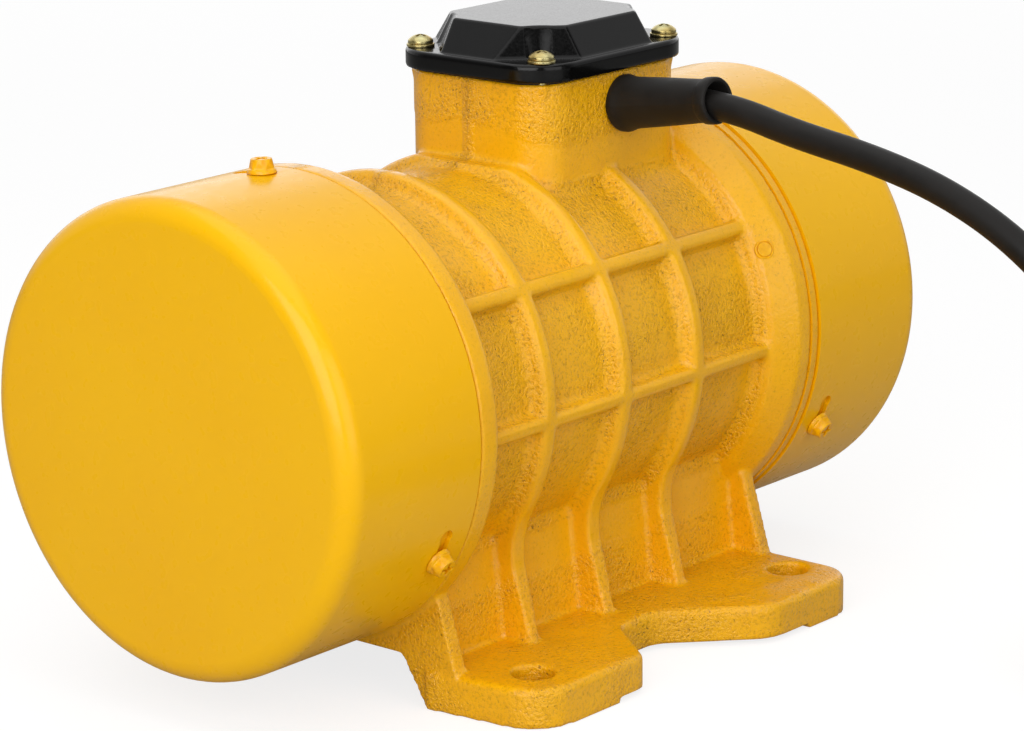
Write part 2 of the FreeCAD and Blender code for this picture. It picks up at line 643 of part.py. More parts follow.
def weight_blank(x0):
    """Eccentric weight: a hub with a heavy sector hanging below it."""
    a = math.radians(WEIGHT_SPAN)
    side_y = WEIGHT_R * math.sin(a)
    side_z = -WEIGHT_R * math.cos(a)
    low = V(x0, 0, AXIS_Z - WEIGHT_R)
    left = V(x0, -side_y, AXIS_Z + side_z)
    right = V(x0, side_y, AXIS_Z + side_z)
    hub_z = AXIS_Z + 2.0
    hub_l = V(x0, -WEIGHT_HUB_R + 1, hub_z)
    hub_r = V(x0, WEIGHT_HUB_R - 1, hub_z)
    wire = Part.Wire([Part.Arc(left, low, right).toShape(),
                      Part.LineSegment(right, hub_r).toShape(),
                      Part.LineSegment(hub_r, hub_l).toShape(),
                      Part.LineSegment(hub_l, left).toShape()])
    sector = Part.Face(wire).extrude(V(WEIGHT_T, 0, 0))
    return sector.fuse(rod(x0, x0 + WEIGHT_T, WEIGHT_HUB_R)).removeSplitter()


def fixed_weight():
    solid = weight_blank(WEIGHT_IN_X).cut(rod(WEIGHT_IN_X - 1, WEIGHT_IN_X + WEIGHT_T + 1,
                                              SHAFT_END_R))
    slot = Part.makeBox(WEIGHT_T + 2, KEY_W, KEY_RISE + 4, V(WEIGHT_IN_X - 1, -KEY_W / 2,
                                                             AXIS_Z + SHAFT_END_R - 4))
    return solid.cut(slot)


def adjustable_weight():
    """Weight with a split hub, clamped on the shaft by a cross bolt."""
    ears = Part.makeBox(WEIGHT_T, 26, WEIGHT_HUB_R + 14, V(ADJ_IN_X, -13, AXIS_Z))
    solid = weight_blank(ADJ_IN_X).fuse(ears).removeSplitter()
    mid = ADJ_IN_X + WEIGHT_T / 2
    cuts = [rod(ADJ_IN_X - 1, ADJ_OUT_X + 1, SHAFT_END_R + FIT_GAP),
            Part.makeBox(WEIGHT_T + 2, CLAMP_SLOT, 60, V(ADJ_IN_X - 1, -CLAMP_SLOT / 2, AXIS_Z)),
            Part.makeCylinder(CLAMP_BOLT_R, 40, V(mid, -20, clamp_z()), V(0, 1, 0))]
    return solid.cut(Part.makeCompound(cuts))


def clamp_z():
    return AXIS_Z + WEIGHT_HUB_R + 6.5


def clamp_bolt():
    """Cross bolt of the split hub, with its nut."""
    mid = ADJ_IN_X + WEIGHT_T / 2
    shank = Part.makeCylinder(CLAMP_BOLT_R, 36, V(mid, -13, clamp_z()), V(0, 1, 0))
    head = hexagon(V(mid, -13, clamp_z()), V(0, -1, 0), 13, 5.3)
    nut = hexagon(V(mid, 13, clamp_z()), V(0, 1, 0), 13, 6.5)
    nut = nut.cut(Part.makeCylinder(CLAMP_BOLT_R, 10, V(mid, 12, clamp_z()), V(0, 1, 0)))
    return Part.makeCompound([shank.fuse(head), nut])


# ---------------------------------------------------------------- stator
def stator_core():
    core = tube_x(-CORE_HALF, CORE_HALF, ROTOR_R + AIR_GAP, BORE_R)
    return core.cut(Part.makeCompound([slot_solid(-CORE_HALF - 1, CORE_HALF + 1, i)
                                       for i in range(STATOR_SLOTS)]))


def slot_solid(x0, x1, i):
    slot = section([(-1.9, ROTOR_R + 3), (-2.9, ROTOR_R + 15, 2), (2.9, ROTOR_R + 15, 2),
                    (1.9, ROTOR_R + 3)], x0, x1)
    slot.rotate(V(0, 0, 0), V(1, 0, 0), 360.0 * i / STATOR_SLOTS)
    slot.translate(AXIS)
    return slot


def stator_windings():
    """Two coil heads and the slot bars that join them."""
    x1 = CORE_HALF + WINDING_L
    head = turned([(CORE_HALF, ROTOR_R + 2), (x1, ROTOR_R + 5, 6), (x1, BORE_R - 5, 6),
                   (CORE_HALF, BORE_R - 7)])
    bars = [slot_solid(-CORE_HALF - 1, CORE_HALF + 1, i) for i in range(STATOR_SLOTS)]
    return fuse([head, mirror_x(head)] + bars)


# ---------------------------------------------------------------- end caps
def end_cap(mirrored):
    """Drawn sheet cup with three keyhole slots for its screws."""
    inner = CAP_R - CAP_SHEET
    solid = turned([(CAP_EDGE_X, inner), (CAP_EDGE_X, CAP_R), (CAP_END_X, CAP_R, CAP_CORNER),
                    (CAP_END_X, 0), (CAP_END_X - CAP_SHEET, 0),
                    (CAP_END_X - CAP_SHEET, inner, CAP_CORNER - CAP_SHEET)])
    cuts = []
    for angle in CAP_SCREW_ANGLES:
        for a, r in ((angle, CAP_SCREW_R + 0.3), (angle + CAP_SLOT_SWEEP, CAP_SLOT_W / 2)):
            cuts.append(Part.makeCylinder(r, 10, on_circle(CAP_SCREW_X, inner - 4, a), radial(a)))
        neck = tube_x(CAP_SCREW_X - CAP_SLOT_W / 2 + 0.6, CAP_SCREW_X + CAP_SLOT_W / 2 - 0.6,
                      inner - 2, CAP_R + 2)
        wedge = sector(angle, angle + CAP_SLOT_SWEEP, CAP_R + 5)
        cuts.append(neck.common(wedge))
    solid = solid.cut(Part.makeCompound(cuts))
    return mirror_x(solid) if mirrored else solid


def sector(a0, a1, r):
    pts = [AXIS, AXIS + radial(a0) * r, AXIS + radial(a1) * r, AXIS]
    face = Part.Face(Part.makePolygon([p + V(CAP_EDGE_X, 0, 0) for p in pts]))
    return face.extrude(V(CAP_END_X - CAP_EDGE_X, 0, 0))


def cap_screws():
    """Flanged hexagon screws that hold the caps to the shield rims."""
    shapes = []
    for angle in CAP_SCREW_ANGLES:
        out = radial(angle)
        at = on_circle(CAP_SCREW_X, CAP_R + 0.15, angle)
        length = RIM_WALL + CAP_SHEET + 1
        body = Part.makeCylinder(CAP_SCREW_R, length, at, out * -1)
        flange = Part.makeCone(5.4, 4.8, 1.5, at, out)
        head = hexagon(at + out * 1.2, out, 8.0, 3.9)
        dome = Part.makeCone(4.6, 3.7, 3.9, at + out * 1.2, out)
        recess = cross_recess(at + out * 5.1, out, 2.0, 2.6)
        shapes.append(body.fuse([flange, head.common(dome)]).cut(recess))
    return Part.makeCompound(shapes + [mirror_x(s) for s in shapes])


def cross_recess(at, axis, depth, reach):
    """A cross-shaped driver recess cut down from the point at."""
    arm = Part.makeBox(reach * 2, reach * 0.5, depth + 1, V(-reach, -reach * 0.25, -depth))
    other = Part.makeBox(reach * 0.5, reach * 2, depth + 1, V(-reach * 0.25, -reach, -depth))
    cross = arm.fuse(other)
    cross.Placement = FreeCAD.Placement(at, FreeCAD.Rotation(V(0, 0, 1), axis))
    return cross


def cap_seal():
    """Rubber ring in the groove of the rim, under the cap."""
    return tube_x(SEAL_X, SEAL_X + SEAL_W, RIM_R - SEAL_T, RIM_R)


# ---------------------------------------------------------------- terminal box
def lid():
    """Moulded cover: flange, raised top and a scooped pocket round each screw."""
    flange = plate(rect(BOX_X, LID_HALF_X, LID_HALF_Y, LID_CORNER), LID_BASE, LID_SEAT)
    rims = [e for e in flange.Edges if e.BoundBox.ZMin > LID_SEAT - 0.01]
    flange = flange.makeFillet(1.6, rims)
    dome = raised_top(0.0)
    hollow = raised_top(LID_SHELL)
    solid = flange.fuse(dome).cut(hollow)
    holes = [Part.makeCylinder(2.8, 30, V(x, y, LID_BASE - 5)) for x, y in lid_screw_places()]
    return solid.cut(Part.makeCompound(holes)).removeSplitter()


def raised_top(inset):
    """The raised top of the lid, or its hollow when inset by the wall."""
    hx = LID_HALF_X - LID_RIM - inset
    hy = LID_HALF_Y - LID_RIM - inset
    low = LID_BASE if inset else LID_SEAT - 1
    top = LID_SEAT + LID_RISE - inset
    solid = Part.makeLoft([octagon(BOX_X, hx, hy, LID_CHAMFER, low),
                           octagon(BOX_X, hx - LID_TOP_IN_X, hy - LID_TOP_IN_Y,
                                   LID_TOP_CHAMFER, top)], True)
    for x, y in lid_screw_places():
        solid = solid.cut(Part.makeCone(LID_SCOOP_R + inset, LID_SCOOP_TOP_R + inset, LID_RISE,
                                        V(x, y, LID_SEAT)))
        if inset:
            solid = solid.cut(Part.makeCylinder(LID_SCOOP_R + inset, LID_SEAT - low,
                                                V(x, y, low)))
    if inset:
        return solid
    return solid.makeFillet(1.0, [e for e in solid.Edges if e.BoundBox.ZMin > top - 0.01])


def lid_gasket():
    ring = plate(rect(BOX_X, BOX_HALF_X, BOX_HALF_Y, BOX_CORNER), BOX_TOP, LID_BASE)
    inner = plate(rect(BOX_X, BOX_HALF_X - BOX_WALL, BOX_HALF_Y - BOX_WALL,
                       BOX_CORNER - BOX_WALL), BOX_TOP, LID_BASE)
    for x, y in lid_screw_places():
        inner = inner.cut(Part.makeCylinder(LID_BOSS_R, GASKET_T, V(x, y, BOX_TOP)))
    holes = [Part.makeCylinder(2.8, 3, V(x, y, BOX_TOP - 1)) for x, y in lid_screw_places()]
    return ring.cut(inner).cut(Part.makeCompound(holes))


def lid_washers():
    return Part.makeCompound([Part.makeCylinder(5.2, 1.0, V(x, y, LID_SEAT)).cut(
        Part.makeCylinder(2.6, 3, V(x, y, LID_SEAT - 1))) for x, y in lid_screw_places()])


def lid_screws():
    """Pan head screws with a cross recess."""
    shapes = []
    for x, y in lid_screw_places():
        z = LID_SEAT + 1.0
        shank = Part.makeCylinder(LID_THREAD_R, z - BOX_TOP + LID_THREAD_L,
                                  V(x, y, BOX_TOP - LID_THREAD_L))
        dome = Part.makeSphere(6.2, V(x, y, z - 2.8)).common(
            Part.makeCylinder(4.7, 5, V(x, y, z)))
        recess = cross_recess(V(x, y, z + 3.2), V(0, 0, 1), 1.8, 2.4)
        shapes.append(shank.fuse(dome).cut(recess))
    return Part.makeCompound(shapes)


def terminal_block():
    """Moulded block with a stud hole per terminal and barriers between them."""
    base = Part.makeBox(BLOCK_L, BLOCK_W, BLOCK_H, V(BLOCK_X - BLOCK_L / 2, -BLOCK_W / 2, BOX_FLOOR))
    walls = [Part.makeBox(BLOCK_L, 2, BLOCK_H + BARRIER_H, V(BLOCK_X - BLOCK_L / 2, y - 1, BOX_FLOOR))
             for y in (-BLOCK_W / 2 + 1, -BLOCK_W / 6, BLOCK_W / 6, BLOCK_W / 2 - 1)]
    holes = [Part.makeCylinder(2.0, BLOCK_H - 1, V(x, y, BOX_FLOOR + 2)) for x, y in stud_places()]
    return fuse([base] + walls).cut(Part.makeCompound(holes))


def stud_places():
    return [(BLOCK_X, y) for y in (-BLOCK_W / 3, 0, BLOCK_W / 3)]


def terminal_studs():
    shapes = []
    for x, y in stud_places():
        stud = Part.makeCylinder(2.0, BLOCK_H + BARRIER_H, V(x, y, BOX_FLOOR + 2))
        nut = hexagon(V(x, y, BOX_FLOOR + BLOCK_H), V(0, 0, 1), 7.0, 3.2)
        shapes.append(stud.fuse(nut))
    return Part.makeCompound(shapes)


def run_capacitor():
    z = BOX_FLOOR + CAPACITOR_R + 1.5
    can = Part.makeCylinder(CAPACITOR_R, CAPACITOR_L, V(CAPACITOR_X, -CAPACITOR_L / 2, z),
                            V(0, 1, 0))
    tags = [Part.makeBox(1, 6, 5, V(CAPACITOR_X + s * 4 - 0.5, -CAPACITOR_L / 2 - 5, z - 2.5))
            for s in (-1, 1)]
    return can.fuse(tags)


def capacitor_clip():
    """Sheet clip under and round the capacitor."""
    z = BOX_FLOOR + CAPACITOR_R + 1.5
    y = 0.0
    band = Part.makeCylinder(CAPACITOR_R + 1.2, 8, V(CAPACITOR_X, y, z), V(0, 1, 0)).cut(
        Part.makeCylinder(CAPACITOR_R, 8, V(CAPACITOR_X, y, z), V(0, 1, 0)))
    band = band.cut(Part.makeBox(10, 8, 30, V(CAPACITOR_X - 5, y, z + 6)))
    foot = Part.makeBox(10, 8, 1.5, V(CAPACITOR_X - 5, y, BOX_FLOOR))
    return band.fuse(foot.cut(Part.makeCylinder(CAPACITOR_R, 8, V(CAPACITOR_X, y, z),
                                                V(0, 1, 0)))).removeSplitter()


def earth_screw():
    at = V(BOX_X - 1.5, BOX_HALF_Y - BOX_WALL - 8, BOX_FLOOR)
    return hexagon(at, V(0, 0, 1), 7.0, 3.0).fuse(Part.makeCylinder(2.0, 3.4, at))


def wiring_grommet():
    """Rubber bush round the stator leads, in the hole through the barrel."""
    x = WIRE_HOLE_X
    outer = Part.makeCylinder(WIRE_HOLE_R, 9, V(x, 0, BOX_FLOOR - 8)).fuse(
        Part.makeCylinder(WIRE_HOLE_R + 1.6, 1.4, V(x, 0, BOX_FLOOR)))
    return outer.cut(Part.makeCylinder(WIRE_HOLE_R - 2, 20, V(x, 0, BOX_FLOOR - 10)))


# ---------------------------------------------------------------- cable and cord
def boot_dir():
    return V(BOOT_LEAN, -1.0, BOOT_RISE).normalize()


def boot_point(along):
    return V(BOOT_X, -BOX_HALF_Y, BOOT_Z) + boot_dir() * along


def cable_boot():
    """Rubber bend protector: flared foot, slim neck and a lip at its mouth."""
    pts = [(-BOX_WALL - 2, CORD_R), (-BOX_WALL - 2, BOOT_PLUG_R), (0.2, BOOT_PLUG_R),
           (0.2, BOOT_BASE_R, 0.8), (3.0, BOOT_BASE_R, 2.0), (6.5, BOOT_ROOT_R, 4.0),
           (BOOT_L - 5.6, BOOT_R), (BOOT_L - 4.6, BOOT_LIP_R, 0.8), (BOOT_L, BOOT_LIP_R, 1.0),
           (BOOT_L, BOOT_MOUTH_R), (BOOT_L - BOOT_MOUTH_L, BOOT_MOUTH_R),
           (BOOT_L - BOOT_MOUTH_L, CORD_R)]
    wire = rounded_wire(pts, lambda p: V(p.x, p.y, 0))
    solid = Part.Face(wire).revolve(V(0, 0, 0), V(1, 0, 0), 360)
    solid.Placement = FreeCAD.Placement(boot_point(0), FreeCAD.Rotation(V(1, 0, 0), boot_dir()))
    return solid


def cable_inner():
    """The sheathed cable inside the boot and the box."""
    start = boot_point(-BOX_WALL - CABLE_IN_BOX)
    stop = V(*CORD_ROUTE[0])
    return Part.makeCylinder(CORD_R, (stop - start).Length, start, stop - start)


def cable_clamp():
    """Saddle that grips the cable inside the box."""
    mid = boot_point(-BOX_WALL - 10)
    wide = 2 * CLAMP_REACH + CLAMP_POST
    saddle = Part.makeBox(wide, 7, 3 + CORD_R, V(mid.x - wide / 2, mid.y - 3.5, mid.z + 0.5))
    groove = Part.makeCylinder(CORD_R, 40, boot_point(-BOX_WALL - 30), boot_dir())
    posts = [Part.makeBox(CLAMP_POST, 7, mid.z + 0.5 - BOX_FLOOR,
                          V(mid.x + s * CLAMP_REACH - CLAMP_POST / 2, mid.y - 3.5, BOX_FLOOR))
             for s in (-1, 1)]
    return saddle.fuse(posts).cut(groove).removeSplitter()


def cable_clamp_screws():
    mid = boot_point(-BOX_WALL - 10)
    top = mid.z + 3.5 + CORD_R
    return Part.makeCompound([Part.makeCylinder(2.8, 2, V(mid.x + s * CLAMP_REACH, mid.y, top))
                              for s in (-1, 1)])


def cord_tube(route):
    """Straight runs joined by tangent arcs; prints the radii and the volume."""
    pts = [V(*p) for p in route]
    edges = []
    at = pts[0]
    radii = []
    length = 0.0
    for i in range(1, len(pts) - 1):
        a = pts[i - 1] - pts[i]
        b = pts[i + 1] - pts[i]
        run = min(a.Length, b.Length)
        cut = 0.45 * run
        half = (math.pi - a.getAngle(b)) / 2
        r = cut / math.tan(half)
        a.normalize()
        b.normalize()
        start = pts[i] + a * cut
        stop = pts[i] + b * cut
        top = pts[i] + (a + b).normalize() * (r / math.cos(half) - r)
        if (start - at).Length > 1e-6:
            edges.append(Part.LineSegment(at, start).toShape())
        edges.append(Part.Arc(start, top, stop).toShape())
        at = stop
        radii.append(round(r, 1))
    edges.append(Part.LineSegment(at, pts[-1]).toShape())
    length = sum(e.Length for e in edges)
    path = Part.Wire(edges)
    ring = Part.Wire([Part.makeCircle(CORD_R, pts[0], pts[1] - pts[0])])
    tube = path.makePipeShell([ring], True, True, 2)
    print("radii", radii, "length %.1f" % length,
          "volume ratio %.4f" % (tube.Volume / (math.pi * CORD_R ** 2 * length)))
    return tube


def cord_coil():
    """Outer shape of the wound coil: two turns wide and two turns high."""
    half = 2 * CORD_R
    wire = rounded_wire([(COIL_MID_R - half, 0, 4), (COIL_MID_R + half, 0, 4),
                         (COIL_MID_R + half, 2 * half, 4), (COIL_MID_R - half, 2 * half, 4)],
                        lambda p: V(COIL_X + p.x, COIL_Y, p.y))
    return Part.Face(wire).revolve(V(COIL_X, COIL_Y, 0), V(0, 0, 1), 360)


def plug_dir():
    a, b = V(*TAIL_ROUTE[-2]), V(*TAIL_ROUTE[-1])
    d = b - a
    d.z = 0
    return d.normalize()


def plug_local(shape):
    """Place a shape drawn along +X from the cord's end in the room."""
    shape.Placement = FreeCAD.Placement(V(*TAIL_ROUTE[-1]),
                                        FreeCAD.Rotation(V(1, 0, 0), plug_dir()))
    return shape


def plug_body():
    """Moulded three-pin plug with a tapered grip."""
    hw, hh = PLUG_W / 2, PLUG_H / 2
    collar = Part.makeCone(CORD_R + 1.2, CORD_R + 3.2, 14, V(0, 0, 0), V(1, 0, 0))
    grip = Part.makeLoft([
        rounded_wire([(-hw + 5, -hh + 4, 5), (hw - 5, -hh + 4, 5), (hw - 5, hh - 4, 5),
                      (-hw + 5, hh - 4, 5)], lambda p: V(12, p.x, p.y)),
        rounded_wire([(-hw, -hh, 5), (hw, -hh, 5), (hw, hh, 5), (-hw, hh, 5)],
                     lambda p: V(PLUG_L - 12, p.x, p.y)),
        rounded_wire([(-hw, -hh, 5), (hw, -hh, 5), (hw, hh, 5), (-hw, hh, 5)],
                     lambda p: V(PLUG_L, p.x, p.y))], True, True)
    return plug_local(fuse([grip, collar]))


def plug_blades():
    blades = [Part.makeBox(BLADE_L, 1.5, 6.3, V(PLUG_L, s * 6.35 - 0.75, 0)) for s in (-1, 1)]
    pin = Part.makeCylinder(2.4, EARTH_PIN_L, V(PLUG_L, 0, -8.0), V(1, 0, 0))
    return plug_local(Part.makeCompound(blades + [pin]))


# ---------------------------------------------------------------- build
def main():
    export("housing", housing())
    export("locking_pin", locking_pin())
    export("end_shield_near", mirror_x(end_shield(RIM_R, False)))
    export("end_shield_far", end_shield(FAR_SHIELD_R, True))
    export("end_shield_bolts", shield_bolts())
    export("bearing_cover_near", mirror_x(bearing_cover()))
    export("bearing_cover_far", bearing_cover())
    export("bearing_cover_screws", cover_screws())
    export("shaft_seals", both_ends(shaft_seal()))
    for end, flip in (("near", mirror_x), ("far", lambda s: s)):
        export("bearing_outer_ring_" + end, flip(outer_ring()))
        export("bearing_cage_" + end, flip(cage()))
        export("bearing_rollers_" + end, Part.makeCompound([flip(s) for s in rollers()]))
        export("fixed_weight_" + end, flip(fixed_weight()))
        export("adjustable_weight_" + end, flip(adjustable_weight()))
        export("clamp_bolt_" + end, flip(clamp_bolt()))
    export("bearing_inner_rings", both_ends(inner_ring()))
    export("shaft", shaft())
    export("rotor_core", rotor_core())
    export("rotor_cage", rotor_cage())
    export("spacer_sleeves", both_ends(spacer_sleeve()))
    export("weight_discs", both_ends(weight_disc()))
    export("weight_keys", both_ends(weight_key()))
    rings = retaining_ring()
    export("retaining_rings", Part.makeCompound(rings + [mirror_x(s) for s in rings]))
    export("stator_core", stator_core())
    export("stator_windings", stator_windings())
    export("end_cap_near", end_cap(True))
    export("end_cap_far", end_cap(False))
    export("cap_screws", cap_screws())
    export("cap_seals", both_ends(cap_seal()))
    export("terminal_box_lid", lid())
    export("lid_gasket", lid_gasket())
    export("lid_screws", lid_screws())
    export("lid_washers", lid_washers())
    export("terminal_block", terminal_block())
    export("terminal_studs", terminal_studs())
    export("run_capacitor", run_capacitor())
    export("capacitor_clip", capacitor_clip())
    export("earth_screw", earth_screw())
    export("wiring_grommet", wiring_grommet())
    export("cable_boot", cable_boot())
    export("cable_inner", cable_inner())
    export("cable_clamp", cable_clamp())
    export("cable_clamp_screws", cable_clamp_screws())
    export("power_cord", cord_tube(CORD_ROUTE))
    export("power_cord_tail", cord_tube(TAIL_ROUTE))
    export("cord_coil", cord_coil())
    export("plug_body", plug_body())
    export("plug_blades", plug_blades())


main()
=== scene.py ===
# %% [markdown]
# # A vibration motor, dressed in Blender
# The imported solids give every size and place. This file gives them their looks: thick yellow
# enamel on cast iron, the same enamel on drawn sheet, a moulded black lid and a rubber cable.
# Everything is in metres, with +Z up and the shaft along X.

# %% Load the solids
import bmesh
import bpy
import json
import math
from mathutils import Matrix, Vector

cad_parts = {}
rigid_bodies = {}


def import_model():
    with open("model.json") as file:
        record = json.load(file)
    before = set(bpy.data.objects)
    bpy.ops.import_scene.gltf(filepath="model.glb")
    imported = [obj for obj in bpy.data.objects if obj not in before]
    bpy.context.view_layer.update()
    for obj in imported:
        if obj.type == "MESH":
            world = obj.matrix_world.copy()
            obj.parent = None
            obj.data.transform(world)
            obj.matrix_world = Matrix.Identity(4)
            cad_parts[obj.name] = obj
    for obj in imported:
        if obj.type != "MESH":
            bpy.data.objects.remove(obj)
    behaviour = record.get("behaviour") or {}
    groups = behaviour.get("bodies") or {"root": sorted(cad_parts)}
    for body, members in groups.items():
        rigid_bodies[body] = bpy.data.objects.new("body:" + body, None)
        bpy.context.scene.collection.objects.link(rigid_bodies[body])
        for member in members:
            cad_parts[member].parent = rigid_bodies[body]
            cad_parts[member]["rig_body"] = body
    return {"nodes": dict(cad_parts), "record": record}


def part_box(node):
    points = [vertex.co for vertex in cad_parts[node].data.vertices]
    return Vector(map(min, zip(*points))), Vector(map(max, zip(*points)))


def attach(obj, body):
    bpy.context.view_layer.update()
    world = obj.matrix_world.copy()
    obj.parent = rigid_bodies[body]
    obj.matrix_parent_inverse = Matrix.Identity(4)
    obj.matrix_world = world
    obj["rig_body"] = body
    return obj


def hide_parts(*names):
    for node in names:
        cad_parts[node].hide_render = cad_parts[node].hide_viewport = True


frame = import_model()
nodes = frame["nodes"]
slots = {part["node"]: part["material_slot"] for part in frame["record"]["subparts"]}
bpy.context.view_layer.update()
MM = 0.001
print("solids:", len(nodes))

# %% [markdown]
# ## Colours and shader nodes
# Colours are written as sRGB hex values, as on a paint chart, and shaders work in linear light, so
# one function converts them. Another adds a shader node with its settings and links, which keeps
# a whole recipe in view as a list of calls. Pattern sizes are given in millimetres, because a
# grain that is right on a casting is only right at its real size.

# %% Helpers for materials
def linear(hex_colour):
    """Linear RGBA of an sRGB hex colour."""
    channels = [int(hex_colour[i:i + 2], 16) / 255 for i in (1, 3, 5)]
    return [c / 12.92 if c <= 0.04045 else ((c + 0.055) / 1.055) ** 2.4 for c in channels] + [1.0]


def add_node(tree, kind, settings=None, links=None):
    """Add a node, set its properties or sockets by name or number, and link its inputs."""
    node = tree.nodes.new(kind)
    for name, value in (settings or {}).items():
        if isinstance(name, int) or name in node.inputs:
            node.inputs[name].default_value = value
        else:
            setattr(node, name, value)
    for name, source in (links or {}).items():
        tree.links.new(source, node.inputs[name])
    return node


def per_mm(size):
    """Noise scale for a pattern whose features are about this many millimetres across."""
    return 1.0 / (size * MM)


def start_material(name, **settings):
    """A new material: its node tree, its Principled shader and object coordinates."""
    made = bpy.data.materials.new(name)
    made.use_nodes = True
    tree = made.node_tree
    tree.nodes.clear()
    shader = add_node(tree, "ShaderNodeBsdfPrincipled", settings)
    add_node(tree, "ShaderNodeOutputMaterial", links={"Surface": shader.outputs[0]})
    place = add_node(tree, "ShaderNodeTexCoord").outputs["Object"]
    return made, tree, shader, place


def noise(tree, place, size, detail=2.0, roughness=0.5):
    """A noise pattern whose features are about size millimetres across."""
    made = add_node(tree, "ShaderNodeTexNoise", {"Scale": per_mm(size), "Detail": detail,
                                                 "Roughness": roughness}, {"Vector": place})
    return made.outputs["Fac"]


def times(tree, one, other):
    """The product of two values."""
    return add_node(tree, "ShaderNodeMath", {"operation": "MULTIPLY"},
                    {0: one, 1: other}).outputs[0]


def ranged(tree, value, low, high, to_low=0.0, to_high=1.0):
    """Stretch the part of a pattern between low and high over the new range, clamped."""
    made = add_node(tree, "ShaderNodeMapRange", {"From Min": low, "From Max": high,
                                                 "To Min": to_low, "To Max": to_high},
                    {"Value": value})
    return made.outputs[0]


def blended(tree, factor, colour_a, colour_b):
    """Mix two colours by a factor; either colour is a hex value or another node's output."""
    made = add_node(tree, "ShaderNodeMix", {"data_type": "RGBA"})
    tree.links.new(factor, made.inputs["Factor"])
    for socket, colour in ((made.inputs[6], colour_a), (made.inputs[7], colour_b)):
        if isinstance(colour, str):
            socket.default_value = linear(colour)
        else:
            tree.links.new(colour, socket)
    return made.outputs[2]


def bumped(tree, height, strength, depth, under=None):
    """Bump whose height pattern is depth millimetres from black to white."""
    made = add_node(tree, "ShaderNodeBump", {"Strength": strength, "Distance": depth * MM},
                    {"Height": height})
    if under:
        tree.links.new(under, made.inputs["Normal"])
    return made.outputs[0]


finishes = {}
print("enamel yellow, linear:", [round(c, 3) for c in linear("#F9B800")])

# %% [markdown]
# ## Enamel on the casting
# The body is poured in a sand mould and painted in one thick coat. Sand leaves grains of about a
# millimetre, which the paint rounds over but doesn't fill. Each grain catches the lamps on one side,
# so rounded ridges glitter, and dirt left in the pits shows as dark specks. Rib tops and the
# shoulders of the flanges draw cleanly from the mould and get rubbed smooth, so the grain fades
# there: the distance from the shaft says which surface is which. The mould's two halves met
# along the middle, and the fettled joint there is rougher than the rest.
#
# A scanned texture would have to be unwrapped onto every rib and would repeat. Noise in the
# object's own coordinates needs neither. The clear coat gets the same bumps as the paint under
# it, because it is the coat that glints.

# %% Cast enamel
AXIS_HEIGHT = 101.5 * MM        # shaft above the floor
PANEL_R = 70.5 * MM             # barrel between its ribs
RIB_FOOT, RIB_TOP = PANEL_R + 3.5 * MM, PANEL_R + 5 * MM
FLANGE_EDGE, BEYOND_FLANGE = PANEL_R + 15 * MM, PANEL_R + 18 * MM


def cast_enamel():
    """Thick gloss paint over sand grain: glints, dark specks, painted shade in the grain's hollows and
    a soft unevenness of tone.
    """
    made, tree, shader, place = start_material("thick_enamel_on_sand_casting", **{
        "Roughness": 0.32, "Specular IOR Level": 0.3, "Coat Weight": 0.5,
        "Coat Roughness": 0.09, "Coat IOR": 1.5})
    swell = noise(tree, place, 9.0, 3.0)
    grain = noise(tree, place, 1.25, 2.5, 0.62)
    patches = noise(tree, place, 24.0, 2.0)
    pits = noise(tree, place, 1.6, 3.0, 0.7)
    split = add_node(tree, "ShaderNodeSeparateXYZ", links={"Vector": place})
    from_joint = add_node(tree, "ShaderNodeMath", {"operation": "ABSOLUTE"},
                          {0: split.outputs["Y"]}).outputs[0]
    joint = ranged(tree, from_joint, 0.4 * MM, 3.2 * MM, 1.0, 0.0)
    flat = add_node(tree, "ShaderNodeVectorMath", {
        "operation": "MULTIPLY_ADD", 1: (0, 1, 1), 2: (0, 0, -AXIS_HEIGHT)}, {0: place})
    from_axis = add_node(tree, "ShaderNodeVectorMath", {"operation": "LENGTH"},
                         {0: flat.outputs[0]}).outputs["Value"]
    on_panels = ranged(tree, from_axis, RIB_FOOT, RIB_TOP, 1.0, 0.3)
    on_legs_and_box = ranged(tree, from_axis, FLANGE_EDGE, BEYOND_FLANGE, 0.0, 0.6)
    sand = add_node(tree, "ShaderNodeMath", {"operation": "ADD"},
                    {0: on_panels, 1: on_legs_and_box}).outputs[0]
    tone = blended(tree, ranged(tree, swell, 0.35, 0.65), "#F9B800", "#F6B402")
    speck = ranged(tree, pits, 0.61, 0.68)
    where = times(tree, ranged(tree, patches, 0.38, 0.62, 0.25, 1.0), sand)
    specked = blended(tree, times(tree, speck, where), tone, "#855806")
    # Painted shade: where the grain pattern that bumps the paint is low, the colour is pulled towards
    # #BE8404, as shade in the grain's hollows.
    grain_hollow_shade = times(tree, ranged(tree, grain, 0.34, 0.5, 0.5, 0.0), sand)
    tree.links.new(blended(tree, grain_hollow_shade, specked, "#BE8404"), shader.inputs["Base Color"])
    coarse = bumped(tree, swell, 0.25, 0.4)
    rough = add_node(tree, "ShaderNodeMath", {"operation": "MULTIPLY_ADD", 1: 1.1},
                     {0: joint, 2: where}).outputs[0]
    skin = bumped(tree, times(tree, grain, rough), 1.0, 1.3, coarse)
    tree.links.new(skin, shader.inputs["Normal"])
    tree.links.new(skin, shader.inputs["Coat Normal"])
    tree.links.new(ranged(tree, grain, 0.3, 0.7, 0.26, 0.46), shader.inputs["Roughness"])
    return made


finishes["cast_enamel"] = cast_enamel()
print("made:", finishes["cast_enamel"].name)

# %% [markdown]
# ## Enamel on drawn sheet
# The end covers get the same paint on smooth sheet. It dries with the faint, wide ripple that
# painters call orange peel, so reflections stay soft but even. One enamel for both would hide that
# these pieces are made in two ways, so the sheet has a recipe of its own, and so has the paint
# that pools over the screw heads.

